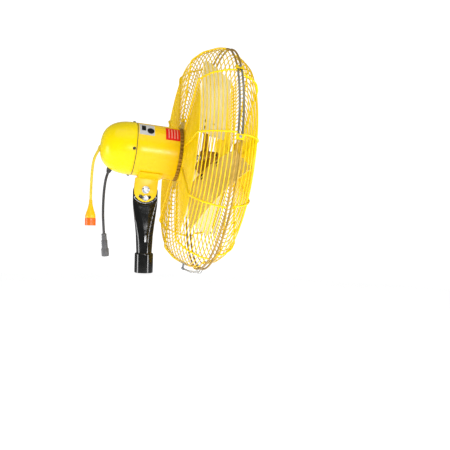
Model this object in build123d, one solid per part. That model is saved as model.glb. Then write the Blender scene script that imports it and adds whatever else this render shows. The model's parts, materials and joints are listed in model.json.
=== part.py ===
from build123d import *
import math
import os

os.makedirs("parts", exist_ok=True)

# ---------------------------------------------------------------- frame
# Origin at the centre of the pole socket's mouth, +Z up the pole, millimetres.
# The head is drawn in its own coordinates: x forward along the motor axis, z up,
# origin on the tilt pivot. HEAD puts it at its resting tilt.
PIVOT_Z = 250.0
REST_TILT = 6.0            # nose down
AXIS_RISE = 117.0          # motor axis above the pivot
HEAD = Location((0, 0, PIVOT_Z), (0, REST_TILT, 0))

# MOTOR coordinates: local z forward along the axis, local x up, local y to the near side (-Y).
MOTOR = HEAD * Plane(origin=(0, 0, AXIS_RISE), x_dir=(0, 0, 1), z_dir=(1, 0, 0)).location

# ---------------------------------------------------------------- motor
MOTOR_R = 79.0
SHELL_WALL = 2.5
SEAM = -50.0               # rear end of the motor shell, along the motor axis
SHELL_FRONT = 76.0
GASKET = 2.0
DOME_LENGTH = 98.0
DOME_POWER = 2.6           # squareness of the dome's profile
DOME_WALL = 2.5
FIT = 0.1                  # radial slack of a piece seated in the shell
INNER_R = MOTOR_R - SHELL_WALL
BEARING_R = 20.0
BEARING_W = 12.0
SHAFT_R = 8.5
SHAFT_NOSE_R = 7.94
RUNNING = 0.05
CORE_REAR = -20.0
CORE_FRONT = 40.0
CORE_R = 46.0
AIR_GAP = 0.5
REAR_BELL = -48.0
FRONT_BELL = 75.5
FLANGE_R = 80.0
CAP_SCREW_STATION = SEAM - GASKET - 6.0

# ---------------------------------------------------------------- guard
GUARD_PLANE = 88.0         # rear face of the guard, along the motor axis
RING_R = 1.6               # wire radius of the rings
RIB_R = 2.5
HOOP_R = 3.0
WELD = 0.2                 # how far crossing wires sink into each other
RING_PITCH = 12.2
RIB_COUNT = 10
FIRST_RIB = 13.0           # degrees above the near side
HOOP_RADIUS = 335.0
REAR_HOOP = 98.0           # hoop stations, forward of GUARD_PLANE
FRONT_HOOP = 110.0
REAR_PROFILE = [(0, 100), (0, 283), (30, 311), (74, 330), (96, 332)]
REAR_BENDS = [14, 50, 60]
FRONT_PROFILE = [(111, 332), (116, 318), (137, 313), (159, 296), (168, 274), (168, 62)]
FRONT_BENDS = [8, 30, 24, 14]
BADGE_R = 66.0
PLATE_REAR = GUARD_PLANE - RING_R
PLATE_FRONT = PLATE_REAR + 2.0
CLIP_OFFSET = 2.2           # degrees from each clip to the rib beside it
CLIP_ANGLES = [49 + CLIP_OFFSET, 13 - CLIP_OFFSET, -95 + CLIP_OFFSET,
               157 + CLIP_OFFSET, -167 + CLIP_OFFSET]
BAIL_ANGLE = -95.0 + CLIP_OFFSET
CLIP_MIDDLE = GUARD_PLANE + (REAR_HOOP + FRONT_HOOP) / 2
CLIP_WIDTH = 16.0
CLIP_LENGTH = FRONT_HOOP - REAR_HOOP + 2 * HOOP_R + 5.0
BAIL_WIRE = 1.5
BAIL_HALF = 13.0
BAIL_PIVOT = (GUARD_PLANE + 60, 343.0)     # behind the hoops
BAIL_CREST = HOOP_RADIUS + 15.0
BAIL_NOSE = (GUARD_PLANE + FRONT_HOOP + 12.0, HOOP_RADIUS - 1.0)     # the cross bar, before the hoops

# ---------------------------------------------------------------- rotor
BLADE_ANGLES = [95, -25, 215]
BLADE_R = 290.0
BLADE_ROOT = 74.0
BLADE_STATION = 180.0      # middle of the blades, along the motor axis
BLADE_SHEET = 1.8
ROOT_CHORD, TIP_CHORD = 185.0, 262.0
ROOT_PITCH, TIP_PITCH = 38.0, 31.0
CAMBER = 0.075
ARM_SHEET = 3.0
ARM_REACH = 122.0
ARM_NECK = 14.0            # half width between the hub and the pad under the rivets
ARM_PAD = 80.0
ARM_HALF_WIDTH = 38.0
RIVET_SPOTS = [(92, -30), (92, 30), (112, -30), (112, 30)]
RIVET_R = 3.0
RIVET_GAP = 0.65           # under each flat head, which stands on a curved sheet
HUB_R = 24.0
HUB_LENGTH = 52.0

# ---------------------------------------------------------------- bracket and pole adapter
SADDLE_SHEET = 5.0
SADDLE_REAR, SADDLE_FRONT = -29.0, 39.0
SADDLE_HALF_ANGLE = 37.0
EAR_R = 34.5
EAR_DROP = 2.5             # the round end's centre is this far below the pivot
EAR_SHEET = 5.0
EAR_INNER = 2.9            # inner face of each ear from the mid plane
EAR_OUTER = EAR_INNER + EAR_SHEET
SLOT_R = 25.0
SLOT_HALF_ANGLE = 33.6
SLOT_HALF_WIDTH = 5.2
PIVOT_BOLT_R = 6.35
PIVOT_FLATS = 17.0
LOCK_BOLT_R = 4.75
LOCK_FLATS = 13.0
LOCK_Z = PIVOT_Z - SLOT_R
LOCK_GAP = 0.3
TAB_HALF = 2.6
TAB_HALF_WIDTH = 37.5
TAB_FOOT = 205.0
TUBE_R = 23.3
TUBE_WALL = 2.4
TUBE_TAPER = 95.0
TUBE_FOOT = 40.0
COLLAR_R = 28.0
COLLAR_HEIGHT = 58.0
SOCKET_R = 22.45
SET_SCREW_Z = 21.0
SET_SCREW_R = 4.0
SET_SCREW_ANGLE = 45.0     # from the outlet side towards the far side

# ---------------------------------------------------------------- cords
CORD_R = 4.0
YELLOW_ROUTE = [(-142.4, 0, 363.9), (-150.0, 0, 351.6), (-157.0, -1, 331.1), (-160.6, -3, 301.3),
                (-162.6, -6, 263.3), (-163.2, -8, 239.5), (-163.4, -10, 217.0)]
BLACK_ROUTE = [(-111.5, 16.6, 298.7), (-116.2, 19.4, 285.6), (-119.8, 23, 263), (-122.2, 27.5, 231.5),
               (-122.8, 33, 192), (-121.4, 38, 152), (-117.8, 41.5, 113)]
GLAND_R = 8.0
GLAND_NOSE = 12.0
GLAND_STEM = 16.0
RELIEF_LENGTH = 27.0
CONNECTOR_LENGTH = 27.0
CONNECTOR_R = 15.0
PLUG_STEPS = [(7.8, 0, 21), (9.5, 21, 46), (11.4, 46, 69)]     # radius, from, to


# ---------------------------------------------------------------- helpers
def disc(radius, low, high):
    return Pos(0, 0, (low + high) / 2) * Cylinder(radius, high - low)


def pipe(outer, inner, low, high):
    return disc(outer, low, high) - disc(inner, low - 1, high + 1)


def hexagon(across_flats, low, high):
    return Pos(0, 0, low) * extrude(RegularPolygon(across_flats / 2, 6, major_radius=False), high - low)


def around(angle):
    """Turn a shape drawn on the local +x side to an angle above the near side."""
    return Rot(0, 0, 90 - angle)


def spread(shape, angles):
    return [around(angle) * shape for angle in angles]


def group(shapes):
    return Compound(children=[part for shape in shapes for part in shape.solids()])


def save(name, shape, location=Location()):
    export_step(location * shape, f"parts/{name}.step")


# ---------------------------------------------------------------- motor
def dome_outline(length, radius, low):
    """Half outline of a squarish dome: points (radius, station) from the rim to the tip."""
    steps = 12
    points = []
    for step in range(steps + 1):
        angle = math.radians(90 * step / steps)
        across = radius * math.cos(angle) ** (2 / DOME_POWER) if step < steps else 0
        along = length * math.sin(angle) ** (2 / DOME_POWER)
        points.append((across, low - along))
    return points


def dome_solid(length, radius, low):
    points = dome_outline(length, radius, low)
    curve = Plane.XZ * Spline(*points, tangents=[(0, -1), (-1, 0)])
    tip = points[-1][1]
    base = Plane.XZ * Polyline((0, tip), (0, low), (radius, low))
    return revolve(make_face([curve, base]), Axis.Z)


def rear_cap():
    rim = SEAM - GASKET
    outside = dome_solid(DOME_LENGTH, MOTOR_R, rim)
    inside = dome_solid(DOME_LENGTH - DOME_WALL, MOTOR_R - DOME_WALL, rim)
    skirt = pipe(MOTOR_R - DOME_WALL, INNER_R - 3, rim - 12, rim)
    shell = Rot(0, 0, 45) * (outside - inside + skirt)
    for angle in (0, 90, 180, 270):
        shell -= around(angle) * cap_screw_hole()
    yellow_hole = gland(YELLOW_ROUTE, forward(), FIT)
    black_hole = gland(BLACK_ROUTE, into_cap(BLACK_ROUTE), FIT)
    return MOTOR * shell - yellow_hole - black_hole


def cap_screw_hole():
    return Pos(MOTOR_R, 0, CAP_SCREW_STATION) * Rot(0, 90, 0) * Cylinder(2.6, 30)


def cap_screw():
    shank = disc(2.5, -14, 0)
    head = disc(4.6, 0.2, 3.0) - Pos(0, 0, 3) * Box(1.2, 7, 2)
    return Pos(MOTOR_R, 0, CAP_SCREW_STATION) * Rot(0, 90, 0) * (shank + disc(2.5, 0, 0.2) + head)


def bell(face, way, bolt_radius):
    """End shield with a bearing seat; way is +1 when the seat stands forward."""
    plate = disc(INNER_R - FIT, min(face, face + 4 * way), max(face, face + 4 * way))
    boss = disc(BEARING_R + 6, min(face, face + 15 * way), max(face, face + 15 * way))
    seat_low = face + 2 * way
    seat_high = face + 16 * way
    seat = disc(BEARING_R + FIT / 2, min(seat_low, seat_high), max(seat_low, seat_high))
    shield = plate + boss - seat - disc(SHAFT_R + 1.5, face - 20, face + 20)
    for bolt in spread(Pos(bolt_radius, 0, face) * Cylinder(3.1, 20), (45, 135, 225, 315)):
        shield -= bolt
    return shield


def bearing(low):
    outer = pipe(BEARING_R, 15.5, low, low + BEARING_W)
    inner = pipe(12.5, SHAFT_R + RUNNING, low, low + BEARING_W)
    ball = Pos(14, 0, low + BEARING_W / 2) * Sphere(1.9)
    cage = pipe(15.5, 12.5, low + 4.5, low + 7.5)
    return outer + inner + cage + [Rot(0, 0, 40 * index) * ball for index in range(9)]


def stator_core():
    ring = pipe(INNER_R - FIT, CORE_R + AIR_GAP, CORE_REAR, CORE_FRONT)
    slot = Pos(CORE_R + 9, 0, (CORE_REAR + CORE_FRONT) / 2) * Box(12, 6, CORE_FRONT - CORE_REAR + 2)
    for index in range(12):
        ring -= Rot(0, 0, 30 * index) * slot
    return ring


def windings():
    rear = pipe(70, 50, CORE_REAR - 17, CORE_REAR - 0.3)
    front = pipe(70, 50, CORE_FRONT + 0.3, CORE_FRONT + 17)
    rear = fillet(rear.edges().group_by(Axis.Z)[0], 6)
    front = fillet(front.edges().group_by(Axis.Z)[-1], 6)
    return group([rear, front])


def capacitor():
    return Pos(30, 0, -82) * Cylinder(16, 58)


def capacitor_cup():
    return Pos(30, 0, 0) * (disc(19, -66, REAR_BELL - 0.1) - disc(16.1, -70, -53))


def terminal_block():
    block = Pos(-30, 0, -57) * Box(16, 44, 17.6)
    for y in (-15, -5, 5, 15):
        block -= Pos(-30, y, -66) * Cylinder(2.5, 10)
    return block


def motor_flange():
    flange = disc(FLANGE_R, SHELL_FRONT + 0.2, GUARD_PLANE - RING_R)
    flange = chamfer(flange.edges().group_by(Axis.Z)[-1], 2)
    flange -= disc(13, 0, 200)
    for hole in spread(Pos(52, 0, 80) * Cylinder(3.1, 40), (45, 135, 225, 315)):
        flange -= hole
    return flange


def mount_bolt():
    return Pos(52, 0, 0) * (disc(3, FRONT_BELL - 6, PLATE_FRONT) + hexagon(10, PLATE_FRONT, PLATE_FRONT + 4))


def label(low, high, start, stop):
    """A thin plate bent round the motor shell, between two angles above the near side."""
    ring = pipe(MOTOR_R + 0.4, MOTOR_R + 0.02, low, high)
    middle = (start + stop) / 2
    half = (stop - start) / 2
    reach = 2 * MOTOR_R
    edge = reach * math.tan(math.radians(half))
    wedge = extrude(make_face(Polyline((0, 0), (reach, edge), (reach, -edge), close=True)), 400, both=True)
    return around(middle) * (ring & wedge)


# ---------------------------------------------------------------- guard
def profile_wire(points, bends):
    """Guard profile in the local XZ plane: station along z, radius along x."""
    flat = [(radius, 0, GUARD_PLANE + station) for station, radius in points]
    return FilletPolyline(*flat, radius=bends)


def rings_on(points, bends, first, last):
    """Wire rings an equal pitch apart along a profile, from one length to another."""
    wire = profile_wire(points, bends)
    count = round((last - first) / RING_PITCH)
    rings = []
    for index in range(count + 1):
        spot = wire.position_at(first + (last - first) * index / count, position_mode=PositionMode.LENGTH)
        rings.append(Pos(0, 0, spot.Z) * Torus(spot.X, RING_R))
    return rings


def offset_profile(points, distance):
    """The profile moved outward; each corner is where its two moved lines cross."""
    moved = []
    for index, point in enumerate(points):
        before = points[max(index - 1, 0)]
        after = points[min(index + 1, len(points) - 1)]
        normals = []
        for start, end in ((before, point), (point, after)):
            run = math.dist(start, end)
            if run > 0:
                normals.append(((start[1] - end[1]) / run, (end[0] - start[0]) / run))
        first, last = normals[0], normals[-1]
        scale = distance / (1 + first[0] * last[0] + first[1] * last[1])
        moved.append((point[0] + scale * (first[0] + last[0]), point[1] + scale * (first[1] + last[1])))
    return moved


def rib(points, bends, growth):
    distance = RING_R + RIB_R - WELD
    path = profile_wire(offset_profile(points, distance), [bend + side * distance
                                                         for bend, side in zip(bends, growth)])
    return sweep(Plane(origin=path @ 0, z_dir=path % 0) * Circle(RIB_R), path=path)


def rib_angles():
    return [FIRST_RIB + 360 / RIB_COUNT * index for index in range(RIB_COUNT)]


def hoop(station):
    return Pos(0, 0, GUARD_PLANE + station) * Torus(HOOP_RADIUS, HOOP_R)


def mounting_plate():
    plate = pipe(102, 25, PLATE_REAR, PLATE_FRONT)
    for hole in spread(Pos(52, 0, PLATE_REAR) * Cylinder(3.1, 20), (45, 135, 225, 315)):
        plate -= hole
    return plate


def badge_plate():
    """Plain round plate welded on the front of the ribs."""
    rib_front = GUARD_PLANE + FRONT_PROFILE[-1][0] + RING_R + 2 * RIB_R - WELD
    plate = disc(BADGE_R, rib_front - WELD, rib_front + 1.4)
    return chamfer(plate.edges().group_by(Axis.Z)[-1], 0.8)


def clip_outer():
    strap = Pos(HOOP_RADIUS + HOOP_R + 1.2, 0, CLIP_MIDDLE) * Box(2, CLIP_WIDTH, CLIP_LENGTH)
    lip = Pos(HOOP_RADIUS + HOOP_R - 1.3, 0, CLIP_MIDDLE + CLIP_LENGTH / 2 - 1) * Box(7, CLIP_WIDTH, 2)
    other_lip = Pos(0, 0, 2 - CLIP_LENGTH) * lip
    return strap + lip + other_lip - clip_bore(2.6)


def clip_inner():
    return Pos(HOOP_RADIUS - HOOP_R - 1.2, 0, CLIP_MIDDLE) * Box(2, 14, 18) - clip_bore(2.6)


def clip_bore(radius):
    return Pos(HOOP_RADIUS, 0, CLIP_MIDDLE) * Rot(0, 90, 0) * Cylinder(radius, 40)


def clip_screw():
    head = hexagon(8, 5.3, 9)
    shank = disc(2.5, -12, 5.3)
    return Pos(HOOP_RADIUS, 0, CLIP_MIDDLE) * Rot(0, 90, 0) * (head + shank)


def clip_nut():
    nut = hexagon(8, -9.2, -5.3) - disc(2.55, -20, 20)
    return Pos(HOOP_RADIUS, 0, CLIP_MIDDLE) * Rot(0, 90, 0) * nut


def bail():
    """Wire bail that closes over the bottom clip."""
    station, radius = BAIL_PIVOT
    nose_station, nose_radius = BAIL_NOSE
    half = BAIL_HALF
    side = [(radius, half, station), (BAIL_CREST, half, station + 22), (BAIL_CREST, half, nose_station - 8),
            (nose_radius, half, nose_station)]
    mirrored = [(x, -y, z) for x, y, z in reversed(side)]
    path = FilletPolyline((radius, 0.5, station), *side, *mirrored, (radius, -0.5, station), radius=3.0)
    return sweep(Plane(origin=path @ 0, z_dir=path % 0) * Circle(BAIL_WIRE), path=path)


def bail_hinge():
    """Knuckle on a web and a shoe that lies on the side rings."""
    station, radius = BAIL_PIVOT
    (low_station, low_radius), (high_station, high_radius) = REAR_PROFILE[2:4]
    rise = (high_radius - low_radius) / (high_station - low_station)
    ring_top = low_radius + rise * (station - GUARD_PLANE - low_station) + RING_R
    slope = math.degrees(math.atan(rise))
    knuckle = Rot(90, 0, 0) * pipe(4, BAIL_WIRE + RUNNING, -8, 8)
    drop = radius - ring_top
    web = Pos(-(drop + BAIL_WIRE + 1) / 2, 0, 0) * Box(drop - BAIL_WIRE - 1, 16, 3)
    shoe = Pos(1.2 - drop, 0, 0) * Rot(0, slope, 0) * Box(2, 16, 30)
    return Pos(radius, 0, station) * (knuckle + web + shoe)


# ---------------------------------------------------------------- rotor
def blade_pitch(radius):
    share = (radius - BLADE_ROOT) / (BLADE_R - BLADE_ROOT)
    return math.radians(ROOT_PITCH + (TIP_PITCH - ROOT_PITCH) * share)


def blade_chord(radius):
    share = (radius - BLADE_ROOT) / (BLADE_R - BLADE_ROOT)
    return ROOT_CHORD + (TIP_CHORD - ROOT_CHORD) * share


def blade_plane(radius):
    """Section plane of a blade that points along local +x: x along the chord, y to the rear."""
    pitch = blade_pitch(radius)
    along_chord = (0, -math.cos(pitch), math.sin(pitch))
    return Plane(origin=(radius, 0, BLADE_STATION), x_dir=along_chord, z_dir=(1, 0, 0))


def blade_section(radius, low, thickness):
    half = blade_chord(radius) / 2
    rise = CAMBER * 2 * half
    front = ThreePointArc((-half, low), (0, low + rise), (half, low))
    back = ThreePointArc((-half, low + thickness), (0, low + thickness + rise), (half, low + thickness))
    sides = [Line((-half, low), (-half, low + thickness)), Line((half, low), (half, low + thickness))]
    return blade_plane(radius) * make_face([front, back] + sides)


def curved_sheet(low, thickness, radii):
    return loft([blade_section(radius, low, thickness) for radius in radii])


def rivet_frame(radius, across):
    """On the blade's mid-line surface, z through the sheet towards the rear."""
    half = blade_chord(radius) / 2
    rise = CAMBER * 2 * half
    arc = (half * half + rise * rise) / (2 * rise)
    height = rise - arc + math.sqrt(arc * arc - across * across)
    return blade_plane(radius).location * Pos(across, height, 0) * Rot(-90, 0, 0)


def planform(low, high, half_width, corner):
    flat = Pos((low + high) / 2, 0) * Rectangle(high - low, 2 * half_width)
    flat = fillet(flat.vertices(), corner)
    return extrude(flat, 400)


def blade():
    sheet = curved_sheet(0, BLADE_SHEET, (BLADE_ROOT - 4, 180, BLADE_R + 6))
    outline = planform(BLADE_ROOT, BLADE_R + 4, 108, 34) & disc(BLADE_R, 0, 400)
    sheet = sheet & outline
    for radius, across in RIVET_SPOTS:
        sheet -= rivet_frame(radius, across) * Cylinder(RIVET_R + 0.05, 16)
    return sheet


def spider():
    arm = curved_sheet(-ARM_SHEET - 0.05, ARM_SHEET, (12, 70, ARM_REACH + 4))
    arm = arm & (planform(4, ARM_REACH - 10, ARM_NECK, 3) + planform(ARM_PAD, ARM_REACH, ARM_HALF_WIDTH, 8))
    for radius, across in RIVET_SPOTS:
        arm -= rivet_frame(radius, across) * Cylinder(RIVET_R + 0.05, 16)
    low = BLADE_STATION - HUB_LENGTH / 2
    hub = disc(HUB_R, low, low + HUB_LENGTH)
    for turned in spread(arm, BLADE_ANGLES):
        hub += turned
    hub -= disc(SHAFT_NOSE_R + RUNNING, 0, 400)
    return hub - hub_screw_axis() * disc(3.05, 0, HUB_R + 5)


def rivet():
    shank = disc(RIVET_R, -ARM_SHEET - 2.1, BLADE_SHEET + 2.1)
    front = disc(5, -ARM_SHEET - 2.3, -ARM_SHEET - RIVET_GAP)
    back = disc(5, BLADE_SHEET + RIVET_GAP, BLADE_SHEET + 2.3)
    return shank + front + back


def rivets():
    shapes = [rivet_frame(radius, across) * rivet() for radius, across in RIVET_SPOTS]
    return group([turned for shape in shapes for turned in spread(shape, BLADE_ANGLES)])


def hub_screw_axis():
    return around(35) * Pos(0, 0, BLADE_STATION + 17) * Rot(0, 90, 0)


def hub_set_screw():
    screw = disc(3, SHAFT_NOSE_R + 0.2, HUB_R + 3) - hexagon(3, HUB_R - 1, HUB_R + 5)
    return hub_screw_axis() * screw


def shaft():
    core = disc(SHAFT_R, REAR_BELL - 2, 80) + disc(SHAFT_NOSE_R, 80, BLADE_STATION + HUB_LENGTH / 2 + 8)
    return chamfer(core.edges().group_by(Axis.Z)[-1], 1)


def rotor_core():
    core = pipe(CORE_R, SHAFT_R + 0.02, CORE_REAR, CORE_FRONT)
    fan = pipe(CORE_R - 4, CORE_R - 14, CORE_REAR - 6, CORE_FRONT + 6)
    return core + fan


# ---------------------------------------------------------------- bracket and pole adapter
def saddle():
    ring = pipe(MOTOR_R + SADDLE_SHEET, MOTOR_R + 0.05, SADDLE_REAR, SADDLE_FRONT)
    reach = 2 * MOTOR_R
    edge = reach * math.tan(math.radians(SADDLE_HALF_ANGLE))
    wedge = extrude(make_face(Polyline((0, 0), (-reach, edge), (-reach, -edge), close=True)), 400, both=True)
    return MOTOR * (ring & wedge)


def ear(side):
    """One cheek of the tilt bracket; side is -1 for the near one."""
    outline = Pos(0, -EAR_DROP) * Circle(EAR_R)
    outline += Pos(0, 22 - EAR_DROP / 2) * Rectangle(2 * EAR_R, 44 + EAR_DROP)
    outline -= Circle(PIVOT_BOLT_R + RUNNING)
    slot_line = CenterArc((0, 0), SLOT_R, 270 - SLOT_HALF_ANGLE, 2 * SLOT_HALF_ANGLE)
    slot = SlotArc(slot_line, 2 * SLOT_HALF_WIDTH)
    plate = extrude(outline - slot, EAR_SHEET)
    near = EAR_INNER if side > 0 else -EAR_OUTER
    upright = Plane(origin=(0, near, 0), x_dir=(-1, 0, 0), z_dir=(0, 1, 0)).location
    belly = Pos(0, 0, AXIS_RISE) * Rot(0, 90, 0) * Cylinder(MOTOR_R + SADDLE_SHEET, 300)
    return HEAD * (upright * plate - belly)


def across_bolt(radius, height, head_flats, reach, head):
    """A bolt along Y with its hex head on the near side."""
    shank = disc(radius, -reach - 2, reach + 12)
    cap = hexagon(head_flats, -reach - head, -reach)
    return Pos(0, 0, height) * Rot(-90, 0, 0) * (shank + cap)


def washer(radius, bore, low, high, height):
    return Pos(0, 0, height) * Rot(-90, 0, 0) * pipe(radius, bore, low, high)


def pivot_washers():
    near = washer(11.5, PIVOT_BOLT_R + 0.1, -EAR_OUTER - 2, -EAR_OUTER, PIVOT_Z)
    far = washer(11.5, PIVOT_BOLT_R + 0.1, EAR_OUTER, EAR_OUTER + 2, PIVOT_Z)
    return group([near, far])


def pivot_nut():
    nut = hexagon(PIVOT_FLATS, EAR_OUTER + 2, EAR_OUTER + 10) - disc(PIVOT_BOLT_R + 0.05, 0, 40)
    return Pos(0, 0, PIVOT_Z) * Rot(-90, 0, 0) * nut


def lock_washers():
    face = EAR_OUTER + LOCK_GAP
    near = washer(8.5, LOCK_BOLT_R + 0.1, -face - 1.6, -face, LOCK_Z)
    far = washer(8.5, LOCK_BOLT_R + 0.1, face, face + 1.6, LOCK_Z)
    return group([near, far])


def lock_nut():
    face = EAR_OUTER + LOCK_GAP + 1.6
    nut = hexagon(LOCK_FLATS, face, face + 7) - disc(LOCK_BOLT_R + 0.05, 0, 40)
    return Pos(0, 0, LOCK_Z) * Rot(-90, 0, 0) * nut


def yoke_tube():
    """Round tube pressed flat at the top into the tab that the ears straddle."""
    def stage(height, half_x, half_y):
        return Pos(0, 0, height) * Ellipse(half_x, half_y)

    middle = (TUBE_TAPER + TAB_FOOT) / 2
    taper = loft([stage(TUBE_TAPER, TUBE_R, TUBE_R), stage(middle, 30.2, 16.5),
                  stage(TAB_FOOT + 2, TAB_HALF_WIDTH, TAB_HALF)])
    inner_r = TUBE_R - TUBE_WALL
    hollow = loft([stage(TUBE_TAPER, inner_r, inner_r), stage(middle, 27.7, 14),
                   stage(TAB_FOOT - 4, 34, 1.2)])
    tube = disc(TUBE_R, TUBE_FOOT, TUBE_TAPER) + taper + tab()
    tube -= disc(inner_r, TUBE_FOOT - 1, TUBE_TAPER)
    tube -= hollow
    for height, radius in ((PIVOT_Z, PIVOT_BOLT_R + RUNNING), (LOCK_Z, LOCK_BOLT_R + RUNNING)):
        tube -= Pos(0, 0, height) * Rot(90, 0, 0) * Cylinder(radius, 40)
    return tube


def tab():
    top = PIVOT_Z + 22
    flat = Pos(0, (TAB_FOOT + top) / 2) * Rectangle(2 * TAB_HALF_WIDTH, top - TAB_FOOT)
    flat = fillet(flat.vertices().group_by(Axis.Y)[-1], 28)
    far_face = Plane(origin=(0, TAB_HALF, 0), x_dir=(1, 0, 0), z_dir=(0, -1, 0)).location
    return far_face * extrude(flat, 2 * TAB_HALF)


def pole_collar():
    collar = disc(COLLAR_R, 0, COLLAR_HEIGHT) - disc(SOCKET_R, -1, TUBE_FOOT)
    collar -= disc(TUBE_R + FIT, TUBE_FOOT, COLLAR_HEIGHT + 1)
    collar = chamfer(collar.edges().group_by(Axis.Z)[-1], 0.8)
    return collar - set_screw_axis() * disc(SET_SCREW_R + 0.05, 0, 40)


def set_screw_axis():
    return Pos(0, 0, SET_SCREW_Z) * Rot(0, 0, SET_SCREW_ANGLE) * Rot(0, 90, 0)


def pole_set_screw():
    shank = disc(SET_SCREW_R, SOCKET_R + 0.3, COLLAR_R + 2.5)
    head = hexagon(13, COLLAR_R + 2.5, COLLAR_R + 7.5)
    return set_screw_axis() * (shank + head)


# ---------------------------------------------------------------- cords
def direction(start, end):
    run = Vector(*end) - Vector(*start)
    return run.normalized()


def frame_along(origin, way):
    return Plane(origin=origin, x_dir=(0, 1, 0), z_dir=way).location


def forward():
    """The motor axis, towards the guard."""
    return direction((0, 0, 0), (HEAD * Pos(1, 0, 0)).position - HEAD.position)


def into_cap(route):
    """Back along a cord's first run, into the cap."""
    return direction(route[1], route[0])


def gland(route, stem_way, slack=0.0):
    """Round knuckle on the cap, the stem that goes through it, and the tapered nose round the cord."""
    knuckle = Vector(*route[0]) + into_cap(route) * GLAND_NOSE
    stem = frame_along(knuckle, stem_way) * disc(GLAND_R + slack, 0, GLAND_STEM)
    ball = Pos(knuckle) * Sphere(GLAND_R + 0.4 + slack)
    nose = Pos(0, 0, GLAND_NOSE / 2) * Cone(8.2 + slack, 5.6 + slack, GLAND_NOSE)
    return stem + ball + frame_along(knuckle, direction(route[0], route[1])) * nose


def bend_radii(route):
    radii = []
    for before, point, after in zip(route, route[1:], route[2:]):
        into, out = Vector(*point) - Vector(*before), Vector(*after) - Vector(*point)
        half_turn = math.radians(into.get_angle(out)) / 2
        radii.append(0.45 * min(into.length, out.length) / math.tan(half_turn))
    return radii


def cord(name, route):
    radii = bend_radii(route)
    path = FilletPolyline(*route, radius=radii)
    tube = sweep(Plane(origin=path @ 0, z_dir=path % 0) * Circle(CORD_R), path=path)
    section = math.pi * CORD_R ** 2
    print(name, "bend radii", [round(radius) for radius in radii], "length", round(path.length, 1),
          "volume ratio", round(tube.volume / (section * path.length), 4))
    return tube


def far_frame(route):
    """At the far end of a cord, z onward along its last run."""
    return frame_along(route[-1], direction(route[-2], route[-1]))


def connector_relief():
    sleeve = Pos(0, 0, RELIEF_LENGTH / 2) * Cone(5.2, 6.6, RELIEF_LENGTH)
    for index in range(4):
        sleeve -= pipe(9, 5.2, 4 + 5.5 * index, 6 + 5.5 * index)
    return sleeve


def connector_body():
    low = RELIEF_LENGTH
    neck = Pos(0, 0, low + 9) * Cone(7.5, CONNECTOR_R, 18)
    drum = disc(CONNECTOR_R, low + 18, low + CONNECTOR_LENGTH)
    return neck + drum


def connector_end():
    low = RELIEF_LENGTH + CONNECTOR_LENGTH
    end = fillet(disc(CONNECTOR_R + 1, low, low + 22).edges().group_by(Axis.Z)[0], 1.5)
    for angle in (0, 120, 240):
        end -= Rot(0, 0, angle) * Pos(7, 0, low + 18) * Box(2.2, 7, 16)
    return end


def plug_body():
    parts = [disc(radius, low, high) for radius, low, high in PLUG_STEPS]
    body = parts[0] + parts[1] + parts[2]
    for index in range(3):
        body -= pipe(20, 8.8, 25 + 6 * index, 28 + 6 * index)
    return body - disc(9.6, 52, 70)


def plug_pins():
    pins = [Rot(0, 0, angle) * Pos(4.8, 0, 59) * Box(1.6, 5, 14) for angle in (0, 120, 240)]
    return group(pins)


# ---------------------------------------------------------------- write the pieces
def write_pole_adapter():
    save("pole_collar", pole_collar())
    save("pole_set_screw", pole_set_screw())
    save("yoke_tube", yoke_tube())
    save("lock_bolt", across_bolt(LOCK_BOLT_R, LOCK_Z, LOCK_FLATS, EAR_OUTER + LOCK_GAP + 1.6, 6))
    save("lock_washers", lock_washers())
    save("lock_nut", lock_nut())


def write_motor():
    save("motor_shell", pipe(MOTOR_R, INNER_R, SEAM, SHELL_FRONT), MOTOR)
    save("cap_gasket", pipe(MOTOR_R - 1, INNER_R - 3, SEAM - GASKET, SEAM), MOTOR)
    save("rear_cap", rear_cap())
    save("cap_screws", group(spread(cap_screw(), (0, 90, 180, 270))), MOTOR)
    save("rear_bell", bell(REAR_BELL, 1, 64), MOTOR)
    save("front_bell", bell(FRONT_BELL, -1, 52), MOTOR)
    save("motor_bearings", group([bearing(REAR_BELL + 2), bearing(FRONT_BELL - 2 - BEARING_W)]), MOTOR)
    save("stator_core", stator_core(), MOTOR)
    save("stator_windings", windings(), MOTOR)
    save("capacitor", capacitor(), MOTOR)
    save("capacitor_cup", capacitor_cup(), MOTOR)
    save("terminal_block", terminal_block(), MOTOR)
    save("motor_flange", motor_flange(), MOTOR)
    save("guard_mount_bolts", group(spread(mount_bolt(), (45, 135, 225, 315))), MOTOR)
    save("pictogram_label", label(-46.5, -1.5, 34, 70), MOTOR)
    save("striped_label", label(32, 75, 29, 68), MOTOR)


def write_bracket():
    save("saddle_plate", saddle())
    save("tilt_ears", group([ear(-1), ear(1)]))
    save("pivot_bolt", across_bolt(PIVOT_BOLT_R, PIVOT_Z, PIVOT_FLATS, EAR_OUTER + 2, 8))
    save("pivot_washers", pivot_washers())
    save("pivot_nut", pivot_nut())


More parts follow.
